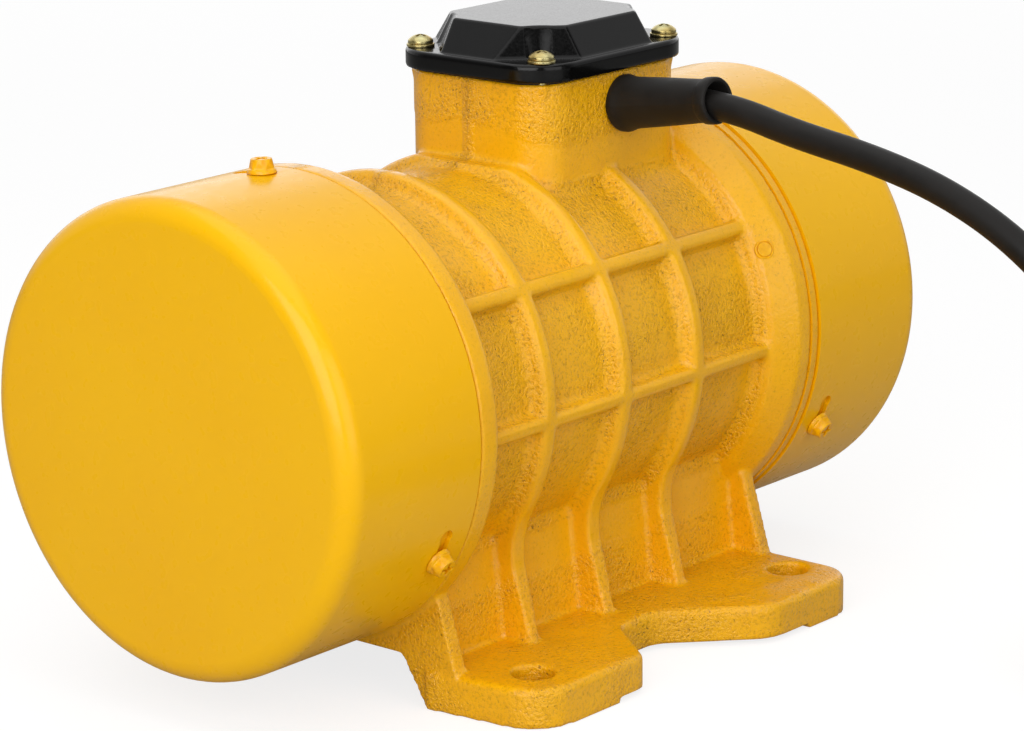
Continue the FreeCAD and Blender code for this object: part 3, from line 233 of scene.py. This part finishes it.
# %% Sheet enamel and painted screws
def sheet_enamel():
    """The same yellow on smooth sheet: even, soft reflections."""
    made, tree, shader, place = start_material("smooth_enamel_on_drawn_sheet", **{
        "Roughness": 0.3, "Specular IOR Level": 0.25, "Coat Weight": 0.15,
        "Coat Roughness": 0.12, "Coat IOR": 1.5})
    ripple = noise(tree, place, 4.5, 1.5)
    sway = noise(tree, place, 60.0, 1.0)
    tree.links.new(blended(tree, ranged(tree, sway, 0.3, 0.7), "#FBBE00", "#F9BA00"),
                   shader.inputs["Base Color"])
    tree.links.new(bumped(tree, ripple, 0.12, 0.25), shader.inputs["Normal"])
    tree.links.new(ranged(tree, ripple, 0.3, 0.7, 0.26, 0.34), shader.inputs["Roughness"])
    return made


def painted_screws():
    """Paint pooled over a screw head: uneven tone, thin and darker in places."""
    made, tree, shader, place = start_material("enamel_pooled_on_screws", **{
        "Roughness": 0.3, "Specular IOR Level": 0.25, "Coat Weight": 0.25, "Coat Roughness": 0.1})
    pool = noise(tree, place, 2.2, 2.0)
    tree.links.new(blended(tree, ranged(tree, pool, 0.35, 0.7), "#FBBC00", "#EBA604"),
                   shader.inputs["Base Color"])
    tree.links.new(bumped(tree, pool, 0.35, 0.3), shader.inputs["Normal"])
    return made


finishes["sheet_enamel"] = sheet_enamel()
finishes["painted_screws"] = painted_screws()
print("finishes so far:", list(finishes))

# %% [markdown]
# ## Black plastics and rubber
# The lid is injection-moulded ABS with a polished mould, so it mirrors the room. The boot and the
# cable sheath are rubber: much rougher, with a bloom of chalk that lifts them off pure black. Black
# things are told apart by their shine and not by their colour, so the three rubbers come from one
# function with a roughness and a grain of their own.

# %% Plastics and rubber
def lid_plastic():
    """Polished black ABS: a clear, slightly wavy mirror of what is around it."""
    made, tree, shader, place = start_material("polished_black_abs", **{
        "Roughness": 0.13, "Specular IOR Level": 0.3})
    flow = noise(tree, place, 14.0, 2.0)
    fine = noise(tree, place, 0.9, 2.0)
    tree.links.new(blended(tree, flow, "#030303", "#060606"), shader.inputs["Base Color"])
    soft = bumped(tree, flow, 0.12, 0.3)
    tree.links.new(bumped(tree, fine, 0.08, 0.04, soft), shader.inputs["Normal"])
    tree.links.new(ranged(tree, fine, 0.3, 0.7, 0.12, 0.2), shader.inputs["Roughness"])
    return made


def rubber(name, dark, light, roughness, grain_mm, depth_mm):
    """Matte rubber or soft plastic: fine grain, a chalky bloom and wide waves of wear."""
    made, tree, shader, place = start_material(name, **{
        "Roughness": roughness, "Specular IOR Level": 0.25, "Sheen Weight": 0.02,
        "Sheen Roughness": 0.5})
    grain = noise(tree, place, grain_mm, 3.0, 0.6)
    bloom = noise(tree, place, 11.0, 3.0, 0.6)
    tree.links.new(blended(tree, ranged(tree, bloom, 0.3, 0.75), dark, light),
                   shader.inputs["Base Color"])
    tree.links.new(bumped(tree, grain, 0.4, depth_mm), shader.inputs["Normal"])
    tree.links.new(ranged(tree, bloom, 0.3, 0.7, roughness - 0.06, roughness + 0.08),
                   shader.inputs["Roughness"])
    return made


finishes.update({
    "lid_plastic": lid_plastic(),
    "black_rubber": rubber("moulded_black_rubber", "#12100E", "#1E1B18", 0.56, 0.35, 0.05),
    "cord_sheath": rubber("rubber_cable_sheath", "#110F0D", "#1C1917", 0.5, 0.5, 0.05),
    "plug_plastic": rubber("moulded_black_pvc", "#141414", "#1D1D1D", 0.42, 0.8, 0.06),
})
print("finishes so far:", list(finishes))

# %% [markdown]
# ## Metals
# Turned and ground faces keep the tool's fine rings, castings keep a skin, and yellow-passivated
# zinc drifts between straw and faint green. One function covers the plain metals, with the size of
# its texture in millimetres and how far it is drawn out around the shaft. A recipe per metal would
# repeat the same nodes five times.

# %% Metals
def metal(name, dark, light, roughness, grain_mm, depth_mm, stretch=1.0):
    """Bare metal: two close tones, fine texture that can be drawn out around the shaft."""
    made, tree, shader, place = start_material(name, Metallic=1.0, Roughness=roughness)
    squeeze = add_node(tree, "ShaderNodeMapping", {"Scale": (stretch, 1.0, 1.0)},
                       {"Vector": place}).outputs[0]
    grain = noise(tree, squeeze, grain_mm, 3.0, 0.6)
    cloud = noise(tree, place, 8.0, 2.0)
    tree.links.new(blended(tree, ranged(tree, cloud, 0.3, 0.7), dark, light),
                   shader.inputs["Base Color"])
    tree.links.new(bumped(tree, grain, 0.5, depth_mm), shader.inputs["Normal"])
    tree.links.new(ranged(tree, grain, 0.3, 0.7, roughness - 0.08, roughness + 0.1),
                   shader.inputs["Roughness"])
    return made


finishes.update({
    "zinc_screws": metal("yellow_passivated_zinc", "#B59A55", "#D2CF9E", 0.3, 0.7, 0.06),
    "machined_steel": metal("turned_and_ground_steel", "#8B8D90", "#A7A9AC", 0.3, 0.5, 0.03, 6.0),
    "weight_iron": metal("machined_grey_iron", "#55565A", "#6E6F73", 0.45, 1.2, 0.08, 3.0),
    "cast_aluminium": metal("pressure_cast_aluminium", "#A9AAAC", "#C2C3C5", 0.38, 1.6, 0.1),
    "brass": metal("turned_brass", "#B48A3C", "#D2AC62", 0.28, 0.6, 0.03, 5.0),
})
print("finishes so far:", len(finishes))

# %% [markdown]
# ## Windings, laminations and insulators
# Inside the barrel, the stator is a stack of thin sheets with coils of varnished wire in its
# slots. Hundreds of modelled sheets and wires would only cost faces, because a wave pattern of
# about their pitch reads the same. The terminal block and the capacitor's shell are moulded resin with
# a filler that shows as small flecks.

# %% Windings, laminations and insulators
def wound_copper():
    """Varnished turns of wire: fine bands round the coil heads, glossy over dark copper."""
    made, tree, shader, place = start_material("varnished_copper_turns", **{
        "Metallic": 0.7, "Roughness": 0.35, "Coat Weight": 0.8, "Coat Roughness": 0.15})
    turns = add_node(tree, "ShaderNodeTexWave", {
        "wave_type": "BANDS", "bands_direction": "X", "Scale": per_mm(6.3),
        "Distortion": 2.5, "Detail": 2.0}, {"Vector": place})
    tree.links.new(blended(tree, turns.outputs["Fac"], "#5A2A12", "#B4602C"),
                   shader.inputs["Base Color"])
    tree.links.new(bumped(tree, turns.outputs["Fac"], 0.8, 0.5), shader.inputs["Normal"])
    return made


def laminations():
    """Edges of 0.5 mm sheets: dark and light bands along the shaft under thin varnish."""
    made, tree, shader, place = start_material("stacked_electrical_steel", **{
        "Metallic": 1.0, "Roughness": 0.42})
    sheets = add_node(tree, "ShaderNodeTexWave", {
        "wave_type": "BANDS", "bands_direction": "X", "Scale": per_mm(3.2),
        "Distortion": 0.3}, {"Vector": place})
    tree.links.new(blended(tree, sheets.outputs["Fac"], "#3C3E42", "#85888C"),
                   shader.inputs["Base Color"])
    tree.links.new(bumped(tree, sheets.outputs["Fac"], 0.6, 0.1), shader.inputs["Normal"])
    return made


def moulded(name, dark, light, roughness):
    """Rigid moulded insulator: flecked filler in a resin, nearly smooth."""
    made, tree, shader, place = start_material(name, Roughness=roughness)
    fleck = noise(tree, place, 1.8, 4.0, 0.7)
    tree.links.new(blended(tree, ranged(tree, fleck, 0.45, 0.7), dark, light),
                   shader.inputs["Base Color"])
    tree.links.new(bumped(tree, fleck, 0.2, 0.08), shader.inputs["Normal"])
    return made


finishes.update({
    "lamination_steel": laminations(),
    "copper_wire": wound_copper(),
    "bakelite": moulded("brown_phenolic", "#2A130B", "#4A2413", 0.35),
    "capacitor_shell": moulded("white_moulded_shell", "#D9D8D2", "#E6E5E0", 0.4),
})
print("finishes:", len(finishes))

# %% [markdown]
# ## Every solid gets its finish
# Each node's slot says what the piece is made of, so one loop dresses all of them, also the
# pieces inside that show only when the motor is opened.

# %% Dress the solids
for name, obj in nodes.items():
    obj.data.materials.clear()
    obj.data.materials.append(finishes[slots[name]])
print("solids dressed:", len(nodes))

# %% [markdown]
# ## Shapes that a drawing leaves sharp
# A casting or moulding has no sharp edge anywhere: molten iron, plastic and paint all round
# corners off. A bevel on every edge would break where fillets run together at the ribs' ends.
# Rebuilding the surface as an even grid of small faces and relaxing it a few times rounds
# everything alike, and the grid size sets how round it gets. The rebuilt piece rides with its
# body and takes the solid's place.

# %% Softened copies
SAME_POINT = 0.002 * MM


def show(obj, *replaced):
    """Put a new piece in the scene in place of CAD nodes, with their finish and motion."""
    bpy.context.scene.collection.objects.link(obj)
    obj.data.materials.clear()
    obj.data.materials.append(finishes[slots[replaced[0]]])
    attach(obj, nodes[replaced[0]]["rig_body"])
    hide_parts(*replaced)


def softened(name, replaced, grid_mm, passes, extra=None):
    """A copy of CAD nodes (and extra bmesh geometry), remeshed on a fine grid and relaxed."""
    joined = bmesh.new()
    for node in replaced:
        joined.from_mesh(nodes[node].data)
    bmesh.ops.remove_doubles(joined, verts=joined.verts, dist=SAME_POINT)
    if extra:
        extra(joined)
    mesh = bpy.data.meshes.new(name)
    joined.to_mesh(mesh)
    joined.free()
    rough = bpy.data.objects.new(name, mesh)
    bpy.context.scene.collection.objects.link(rough)
    remesh = rough.modifiers.new("even_grid", "REMESH")
    remesh.mode, remesh.voxel_size = "VOXEL", grid_mm * MM
    relax = rough.modifiers.new("relax", "SMOOTH")
    relax.factor, relax.iterations = 0.5, passes
    bpy.context.view_layer.update()
    graph = bpy.context.evaluated_depsgraph_get()
    made = bpy.data.meshes.new_from_object(rough.evaluated_get(graph))
    bpy.data.objects.remove(rough)
    made.name = name
    made.shade_smooth()
    show(bpy.data.objects.new(name, made), *replaced)
    print(name, "faces:", len(made.polygons))


print("helpers: show, softened")

# %% [markdown]
# ## Cast body
# The lid's screws fill the threads in the box's corners, where the iron outside them is thin, and
# the locking pin fills its hole in the far shoulder. So both are filled before the surface is
# rebuilt. The pin stands square to the barrel, but its end is dressed flush with the shoulder, which
# is a cone, so what belongs to its end is set square to that cone.

# %% Cast body
def fill_round(mesh, middle, way, depth, bottom, top, segments=24):
    """Add a closed round solid: its middle, its direction, and its size in millimetres."""
    turn = way.to_track_quat("Z", "Y").to_matrix().to_4x4()
    bmesh.ops.create_cone(mesh, cap_ends=True, segments=segments, radius1=bottom * MM,
                          radius2=top * MM, depth=depth * MM,
                          matrix=Matrix.Translation(middle) @ turn)


UP = Vector((0, 0, 1))
WASHER_R = 5.2                            # mm, and so are the sizes below
THREAD_R, THREAD_DEPTH = 2.9, 16
RIM_R, RIM_TOP_R, RIM_DEPTH = 3.0, 3.7, 3.6   # thicker right under the lid
BELOW_TOP = 0.1                           # the rim's fill stops this far under the box's top
PIN_R, PIN_PROUD, PIN_LEAN = 2.9, 0.5, math.radians(25)
PIN_HOLE_R, PIN_HOLE_DEPTH, PIN_HOLE_SUNK = 3.1, 12, 0.8
SHOULDER_SLOPE = 0.711                    # rise of the cone per length along the shaft

pin_way = Vector((0, -math.cos(PIN_LEAN), math.sin(PIN_LEAN)))
pin_low, pin_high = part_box("locking_pin")
pin_reach = (-pin_low.y - PIN_R * MM * math.sin(PIN_LEAN)) / math.cos(PIN_LEAN)
pin_top = (Vector(((pin_low.x + pin_high.x) / 2, 0, AXIS_HEIGHT))
           + pin_way * (pin_reach - PIN_PROUD * MM))
pin_face = (pin_way - Vector((SHOULDER_SLOPE, 0, 0))).normalized()


def fill_holes(mesh):
    """Solid iron where the lid's screws and the locking pin fill their holes."""
    low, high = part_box("lid_washers")
    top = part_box("housing")[1].z
    for x in (low.x + WASHER_R * MM, high.x - WASHER_R * MM):
        for y in (low.y + WASHER_R * MM, high.y - WASHER_R * MM):
            corner = Vector((x, y, top))
            fill_round(mesh, corner - UP * (THREAD_DEPTH / 2 + 2 * BELOW_TOP) * MM, UP,
                       THREAD_DEPTH, THREAD_R, THREAD_R)
            fill_round(mesh, corner - UP * (RIM_DEPTH / 2 + BELOW_TOP) * MM, UP,
                       RIM_DEPTH, RIM_R, RIM_TOP_R)
    fill_round(mesh, pin_top - pin_face * (PIN_HOLE_DEPTH / 2 + PIN_HOLE_SUNK) * MM, pin_face,
               PIN_HOLE_DEPTH, PIN_HOLE_R, PIN_HOLE_R, 32)


softened("cast_body", ["housing"], 1.0, 2, fill_holes)

# %% [markdown]
# The lid's edges are about half a millimetre round, and its screws are small, so they need finer
# grids. The painted screws keep their six flats but lose every crisp edge to the paint.

# %% Lid and screws
softened("moulded_lid", ["terminal_box_lid"], 0.5, 3)
softened("pan_head_screws", ["lid_screws"], 0.2, 2)
softened("plain_washers", ["lid_washers"], 0.2, 1)
softened("painted_cap_screws", ["cap_screws"], 0.25, 3)

# %% [markdown]
# ## Turned pieces
# Round pieces come from a lathe or a round mould: an outline that goes once about an axis. A
# modifier could spin a profile, but it would have to be aimed by an empty. Here a loop sets one ring
# of points per step of the outline, along any direction, and the rings are joined with faces.

# %% Turned pieces
SIDES = 96
RIDGE_WIDTH = 0.05              # of a mould ridge, as a share of the radius


def turned(name, node, outline, at, way, ridge_mm=0.0):
    """A piece turned round way from (distance, radius) points in mm, with two mould ridges."""
    made = bmesh.new()
    across = way.cross(Vector((0, 0, 1))).normalized()
    over = across.cross(way)
    rings = []
    for along, radius in outline:
        ring = []
        for i in range(SIDES):
            a = math.tau * i / SIDES
            r = (radius + ridge_mm * math.exp(-(math.sin(a) / RIDGE_WIDTH) ** 2)) * MM
            ring.append(made.verts.new(at + way * along * MM
                                       + across * r * math.cos(a) + over * r * math.sin(a)))
        rings.append(ring)
    for inner, outer in zip(rings, rings[1:]):
        for i in range(SIDES):
            j = (i + 1) % SIDES
            made.faces.new((inner[i], outer[i], outer[j], inner[j]))
    for ring in (rings[0], rings[-1]):
        made.faces.new(ring)
    bmesh.ops.recalc_face_normals(made, faces=made.faces)
    mesh = bpy.data.meshes.new(name)
    made.to_mesh(mesh)
    made.free()
    mesh.shade_smooth()
    show(bpy.data.objects.new(name, mesh), node)
    print(name, "rings:", len(rings))


print("sides of a turned piece:", SIDES)

# %% [markdown]
# ## Locking pin
# The pin was driven in before the body was painted, so the paint lies over its end and sinks into
# the joint around it: what stays in sight is a flat disc inside a fine round groove. The
# groove is finer than the casting's grid, so it is turned as part of the pin, with a thin collar
# that meets the shoulder.

# %% Locking pin
PIN_OUTLINE = [(-9, 2.7), (-1.6, 2.7), (-1.2, 3.9), (-0.75, 3.85), (-0.35, 3.6), (-0.22, 3.35),
               (-0.22, 3.2), (-0.3, 3.05), (-0.85, 2.95), (-0.9, 2.88), (-0.85, 2.8),
               (-0.15, 2.72), (-0.02, 2.6), (0, 2.4), (0, 1.2)]
PAINT_BUILD = 0.35 * MM         # the paint over the pin stands this proud of the cone
turned("painted_pin", "locking_pin", PIN_OUTLINE, pin_top + pin_face * PAINT_BUILD, pin_face)

# %% [markdown]
# ## Rubber boot
# The boot is turned from its outline: a thick foot against the box, a long taper that lets the
# cable bend gradually, and a lip at the mouth. Its mould opened along the sides, which leaves a
# faint ridge where the halves met. The solid has its main outline; the piece here adds the
# rounding of its lip and foot.

# %% Boot
BOOT_OUTLINE = [(0.2, 6.5), (0.2, 10.1), (0.7, 10.6), (2.4, 10.7), (3.8, 10.3), (5.4, 9.8),
                (8, 9.5), (14, 9.25), (22, 8.9), (30, 8.45), (37, 8.05), (40, 8.0), (40.9, 8.2),
                (41.6, 8.6), (43.4, 8.68), (45.2, 8.6), (45.9, 8.2), (46, 7.6), (45.7, 7.0),
                (45, 6.9), (33, 6.9), (33, 5.0)]
BOOT_AT = Vector((43.2, -34.3, 191.9)) * MM
BOOT_ALONG = Vector((-0.054, -1.0, 0.143)).normalized()
MOULD_RIDGE = 0.12              # mm
turned("bend_protector", "cable_boot", BOOT_OUTLINE, BOOT_AT, BOOT_ALONG, MOULD_RIDGE)

# %% [markdown]
# ## Plug
# A moulded plug is soft-edged and has grip ribs across its sides, added as small bars before
# the surface is rebuilt. Ribs laid on afterwards would meet the body in a hard line.

# %% Plug
GRIP_RIBS, GRIP_STEP, GRIP_START = 5, 4.2, -2.0     # mm along the plug from its middle
GRIP_OUT = 12.6                                     # mm from the plug's middle line
GRIP_SIZE = (2.6, 1.5, 15)                          # mm: out, along, up
PLUG_WAY = Vector((-0.4, 18.0, 0)).normalized()


def add_grip_ribs(mesh):
    """Bars across both sides of the plug, for the fingers."""
    low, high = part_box("plug_body")
    middle = (low + high) / 2
    side = Vector((PLUG_WAY.y, -PLUG_WAY.x, 0))
    turn = side.to_track_quat("X", "Z").to_matrix().to_4x4()
    for step in range(GRIP_RIBS):
        for hand in (-1, 1):
            at = (middle + PLUG_WAY * (step * GRIP_STEP + GRIP_START) * MM
                  + side * hand * GRIP_OUT * MM)
            bar = Matrix.Translation(at) @ turn @ Matrix.Diagonal(
                [size * MM for size in GRIP_SIZE] + [1])
            bmesh.ops.create_cube(mesh, size=1.0, matrix=bar)


softened("moulded_plug", ["plug_body"], 0.5, 4, add_grip_ribs)
softened("plug_pins", ["plug_blades"], 0.25, 3)

# %% [markdown]
# ## Camera
# A long lens from about 1.4 m keeps the two round covers close to the same size. The camera
# looks from the near cover's side, slightly from above, with a very small roll. Its axes are
# worked out from two angles, which can be changed one at a time, unlike a matrix that was typed in.

# %% Camera
AZIMUTH, ELEVATION, ROLL = math.radians(-50.02), math.radians(14.70), -0.009
DISTANCE = 1.4188
TARGET = Vector((0.0, -0.015865, 0.097813))

back = Vector((math.sin(AZIMUTH) * math.cos(ELEVATION), -math.cos(AZIMUTH) * math.cos(ELEVATION),
               math.sin(ELEVATION)))
right = (-back).cross(Vector((0, 0, 1))).normalized()
up = right.cross(-back)
right, up = (right * math.cos(ROLL) + up * math.sin(ROLL),
             up * math.cos(ROLL) - right * math.sin(ROLL))
camera_data = bpy.data.cameras.new("camera")
camera_data.lens, camera_data.sensor_width = 135.0, 36.0
camera_data.clip_end = 50
camera = bpy.data.objects.new("camera", camera_data)
camera.matrix_world = Matrix.Translation(TARGET + back * DISTANCE) @ Matrix(
    (right, up, back)).transposed().to_4x4()
bpy.context.scene.collection.objects.link(camera)
bpy.context.scene.camera = camera
bpy.context.scene.view_settings.view_transform = "Standard"
print("camera at", [round(c, 3) for c in camera.matrix_world.translation])

# %% [markdown]
# ## Cord
# A 1.585 m length of three-core rubber cable, 10.5 mm thick. It leaves the rubber boot, sags under
# its own weight to the floor, and its spare length is wound into a small coil with the plug beside
# it. A mesh tube would do for one view, but a curve keeps its thickness and length in numbers, so
# one NURBS curve carries the whole length: the hanging part is a list of points, and a loop adds
# the coil's turns, two turns side by side on the floor and the rest on top of them.

# %% Way of the cord
CORD_D, CORD_L = 0.0105, 1.585
# Millimetres from here on, as in a drawing.
ROUTE = [(41.3, -70, 196.7), (41.4, -86, 196.3), (42, -113, 189.9), (42.4, -146, 185.1),
         (42.4, -178, 177.1), (42, -208, 163.1), (40.9, -235.5, 141.4), (38.9, -257.9, 111.1),
         (37.2, -274.8, 79.8), (43.4, -293.5, 55), (55.5, -309.1, 37.8), (72.1, -320.6, 26.6),
         (91.3, -326.8, 19.6), (111.1, -327.2, 16.2)]
TAIL = [(164.7, -272.2, 5.3), (165, -252.2, 5.6), (164.5, -232.2, 10.4), (164.1, -214.2, 12.1)]
COIL_X, COIL_Y = 102.5, -264.2
COIL_FROM, COIL_TO = 298, 1428                          # degrees
OUTER, INNER, UPPER, LOWER = 62.6, 52.1, 15.8, 5.3      # radius and height of the strands
WINDING = [(278, OUTER, UPPER), (578, OUTER, UPPER), (638, INNER, UPPER), (740, INNER, UPPER),
           (800, INNER, LOWER), (1040, INNER, LOWER), (1100, OUTER, LOWER), (1440, OUTER, LOWER)]


def winding_at(angle):
    """Radius and height of the coil's strand at an angle, eased between the listed ones."""
    for (start, r0, z0), (end, r1, z1) in zip(WINDING, WINDING[1:]):
        if angle <= end:
            t = (angle - start) / (end - start)
            t = t * t * (3 - 2 * t)
            return r0 + (r1 - r0) * t, z0 + (z1 - z0) * t


coil_points = []
for angle in range(COIL_FROM, COIL_TO, 20):
    r, z = winding_at(angle)
    a = math.radians(angle)
    coil_points.append((COIL_X + r * math.cos(a), COIL_Y + r * math.sin(a), z))
print("points in the coil:", len(coil_points))

# %% [markdown]
# ## From points to cord
# The curve's points carry the cable's radius, and its ends are closed. The plug's pieces go with
# the cord, so whoever lays the cord anew takes the plug along.

# %% Cord as a curve
cord_curve = bpy.data.curves.new("cord", "CURVE")
cord_curve.dimensions = "3D"
cord_curve.bevel_depth = 1.0      # times each point's radius
cord_curve.bevel_resolution = 8
cord_curve.use_fill_caps = True
cord_curve.resolution_u = 8
line = cord_curve.splines.new("NURBS")
cord_points = ROUTE + coil_points + TAIL
line.points.add(len(cord_points) - 1)
for point, (x, y, z) in zip(line.points, cord_points):
    point.co = (x * MM, y * MM, z * MM, 1)
    point.radius = CORD_D / 2
line.order_u = 3
line.use_endpoint_u = True
cord = bpy.data.objects.new("rubber_cord", cord_curve)
show(cord, "power_cord", "power_cord_tail", "cord_coil")
print("cord points:", len(cord_points), "spline length:", round(line.calc_length(), 3))

# %% [markdown]
# ## Floor
# A pale floor catches the shadow. More lamp light would bleach the enamel before the floor turned
# white, so the floor glows a little where the camera sees it, and the lamps stay at a plain
# level. To every other ray it is plain pale paper.

# %% Floor
HALF = 6.0                      # metres from the middle to the floor's edge
floor_mesh = bpy.data.meshes.new("floor")
floor_mesh.from_pydata([(-HALF, -HALF, 0), (HALF, -HALF, 0), (HALF, HALF, 0), (-HALF, HALF, 0)],
                       [], [(0, 1, 2, 3)])
floor = bpy.data.objects.new("floor", floor_mesh)
floor.location.z = -0.2 * MM
bpy.context.scene.collection.objects.link(floor)
paper = bpy.data.materials.new("matte_white_paper")
paper.use_nodes = True
tree = paper.node_tree
tree.nodes.clear()
seen = add_node(tree, "ShaderNodeLightPath")
glow = add_node(tree, "ShaderNodeEmission", {"Color": linear("#FFFFFF"), "Strength": 0.8})
matte = add_node(tree, "ShaderNodeBsdfDiffuse", {"Color": linear("#8E8E8E")})
both = add_node(tree, "ShaderNodeAddShader", links={0: glow.outputs[0], 1: matte.outputs[0]})
plain = add_node(tree, "ShaderNodeBsdfDiffuse", {"Color": linear("#B8B8B6")})
mix = add_node(tree, "ShaderNodeMixShader", links={
    "Fac": seen.outputs["Is Camera Ray"], 1: plain.outputs[0], 2: both.outputs[0]})
add_node(tree, "ShaderNodeOutputMaterial", links={"Surface": mix.outputs[0]})
floor_mesh.materials.append(paper)
print("floor material:", paper.name)

# %% [markdown]
# ## World
# The world is the room around the motor. It is white to the camera, dim as a light, and in
# mirrors it brightens toward the back, as a white wall there would, which gives the lid its pale
# top. A panorama of a real room would do it too, but this needs no file and can be tuned by eye.

# %% World
world = bpy.data.worlds.new("studio")
bpy.context.scene.world = world
world.use_nodes = True
tree = world.node_tree
tree.nodes.clear()
ray = add_node(tree, "ShaderNodeLightPath")
aim = add_node(tree, "ShaderNodeTexCoord")
TO_THE_BACK = (0.72, 0.60, 0.0)
behind = add_node(tree, "ShaderNodeVectorMath", {"operation": "DOT_PRODUCT", 1: TO_THE_BACK},
                  {0: aim.outputs["Generated"]})
sweep = ranged(tree, behind.outputs["Value"], -0.2, 0.5, 0.1, 0.8)
mirror_rays = add_node(tree, "ShaderNodeMath", {"operation": "MAXIMUM"},
                       {0: ray.outputs["Is Glossy Ray"], 1: ray.outputs["Is Transmission Ray"]})
gloss = add_node(tree, "ShaderNodeMix", {"A": 0.3}, {"Factor": mirror_rays.outputs[0],
                                                     "B": sweep})
shown = add_node(tree, "ShaderNodeMix", {"B": 1.0}, {"Factor": ray.outputs["Is Camera Ray"],
                                                     "A": gloss.outputs[0]})
sky = add_node(tree, "ShaderNodeBackground", {"Color": linear("#FFFFFF")},
               {"Strength": shown.outputs[0]})
add_node(tree, "ShaderNodeOutputWorld", links={"Surface": sky.outputs[0]})
print("world:", world.name)

# %% [markdown]
# ## Lamps
# Large soft boxes make wide, soft highlights on gloss paint; a small lamp or a sun would leave hard
# dots. One hangs overhead, one stands on the near cover's side, one in front, and a low wide one
# behind glosses the tops. Their strength is given as brightness per area, so a lamp can change
# its size and keep its look.

# %% Lamps
def soft_box(name, place, target, width, height, radiance):
    """A flat lamp that looks about as bright as the number radiance."""
    lamp = bpy.data.lights.new(name, "AREA")
    lamp.shape = "RECTANGLE"
    lamp.size, lamp.size_y = width, height
    lamp.energy = radiance * math.pi * width * height
    obj = bpy.data.objects.new(name, lamp)
    obj.location = place
    obj.rotation_euler = (Vector(target) - Vector(place)).to_track_quat("-Z", "Y").to_euler()
    bpy.context.scene.collection.objects.link(obj)


soft_box("box_overhead", (-0.15, -0.1, 1.35), (0, 0, 0.1), 1.5, 1.5, 1.05)
soft_box("box_near_side", (-1.45, -0.6, 0.7), (-0.1, 0, 0.1), 1.3, 1.3, 2.9)
soft_box("box_front", (-0.25, -1.55, 0.6), (0, 0, 0.1), 1.2, 1.2, 1.5)
soft_box("box_behind", (1.25, 1.1, 0.62), (0, 0, 0.2), 2.4, 0.9, 0.7)
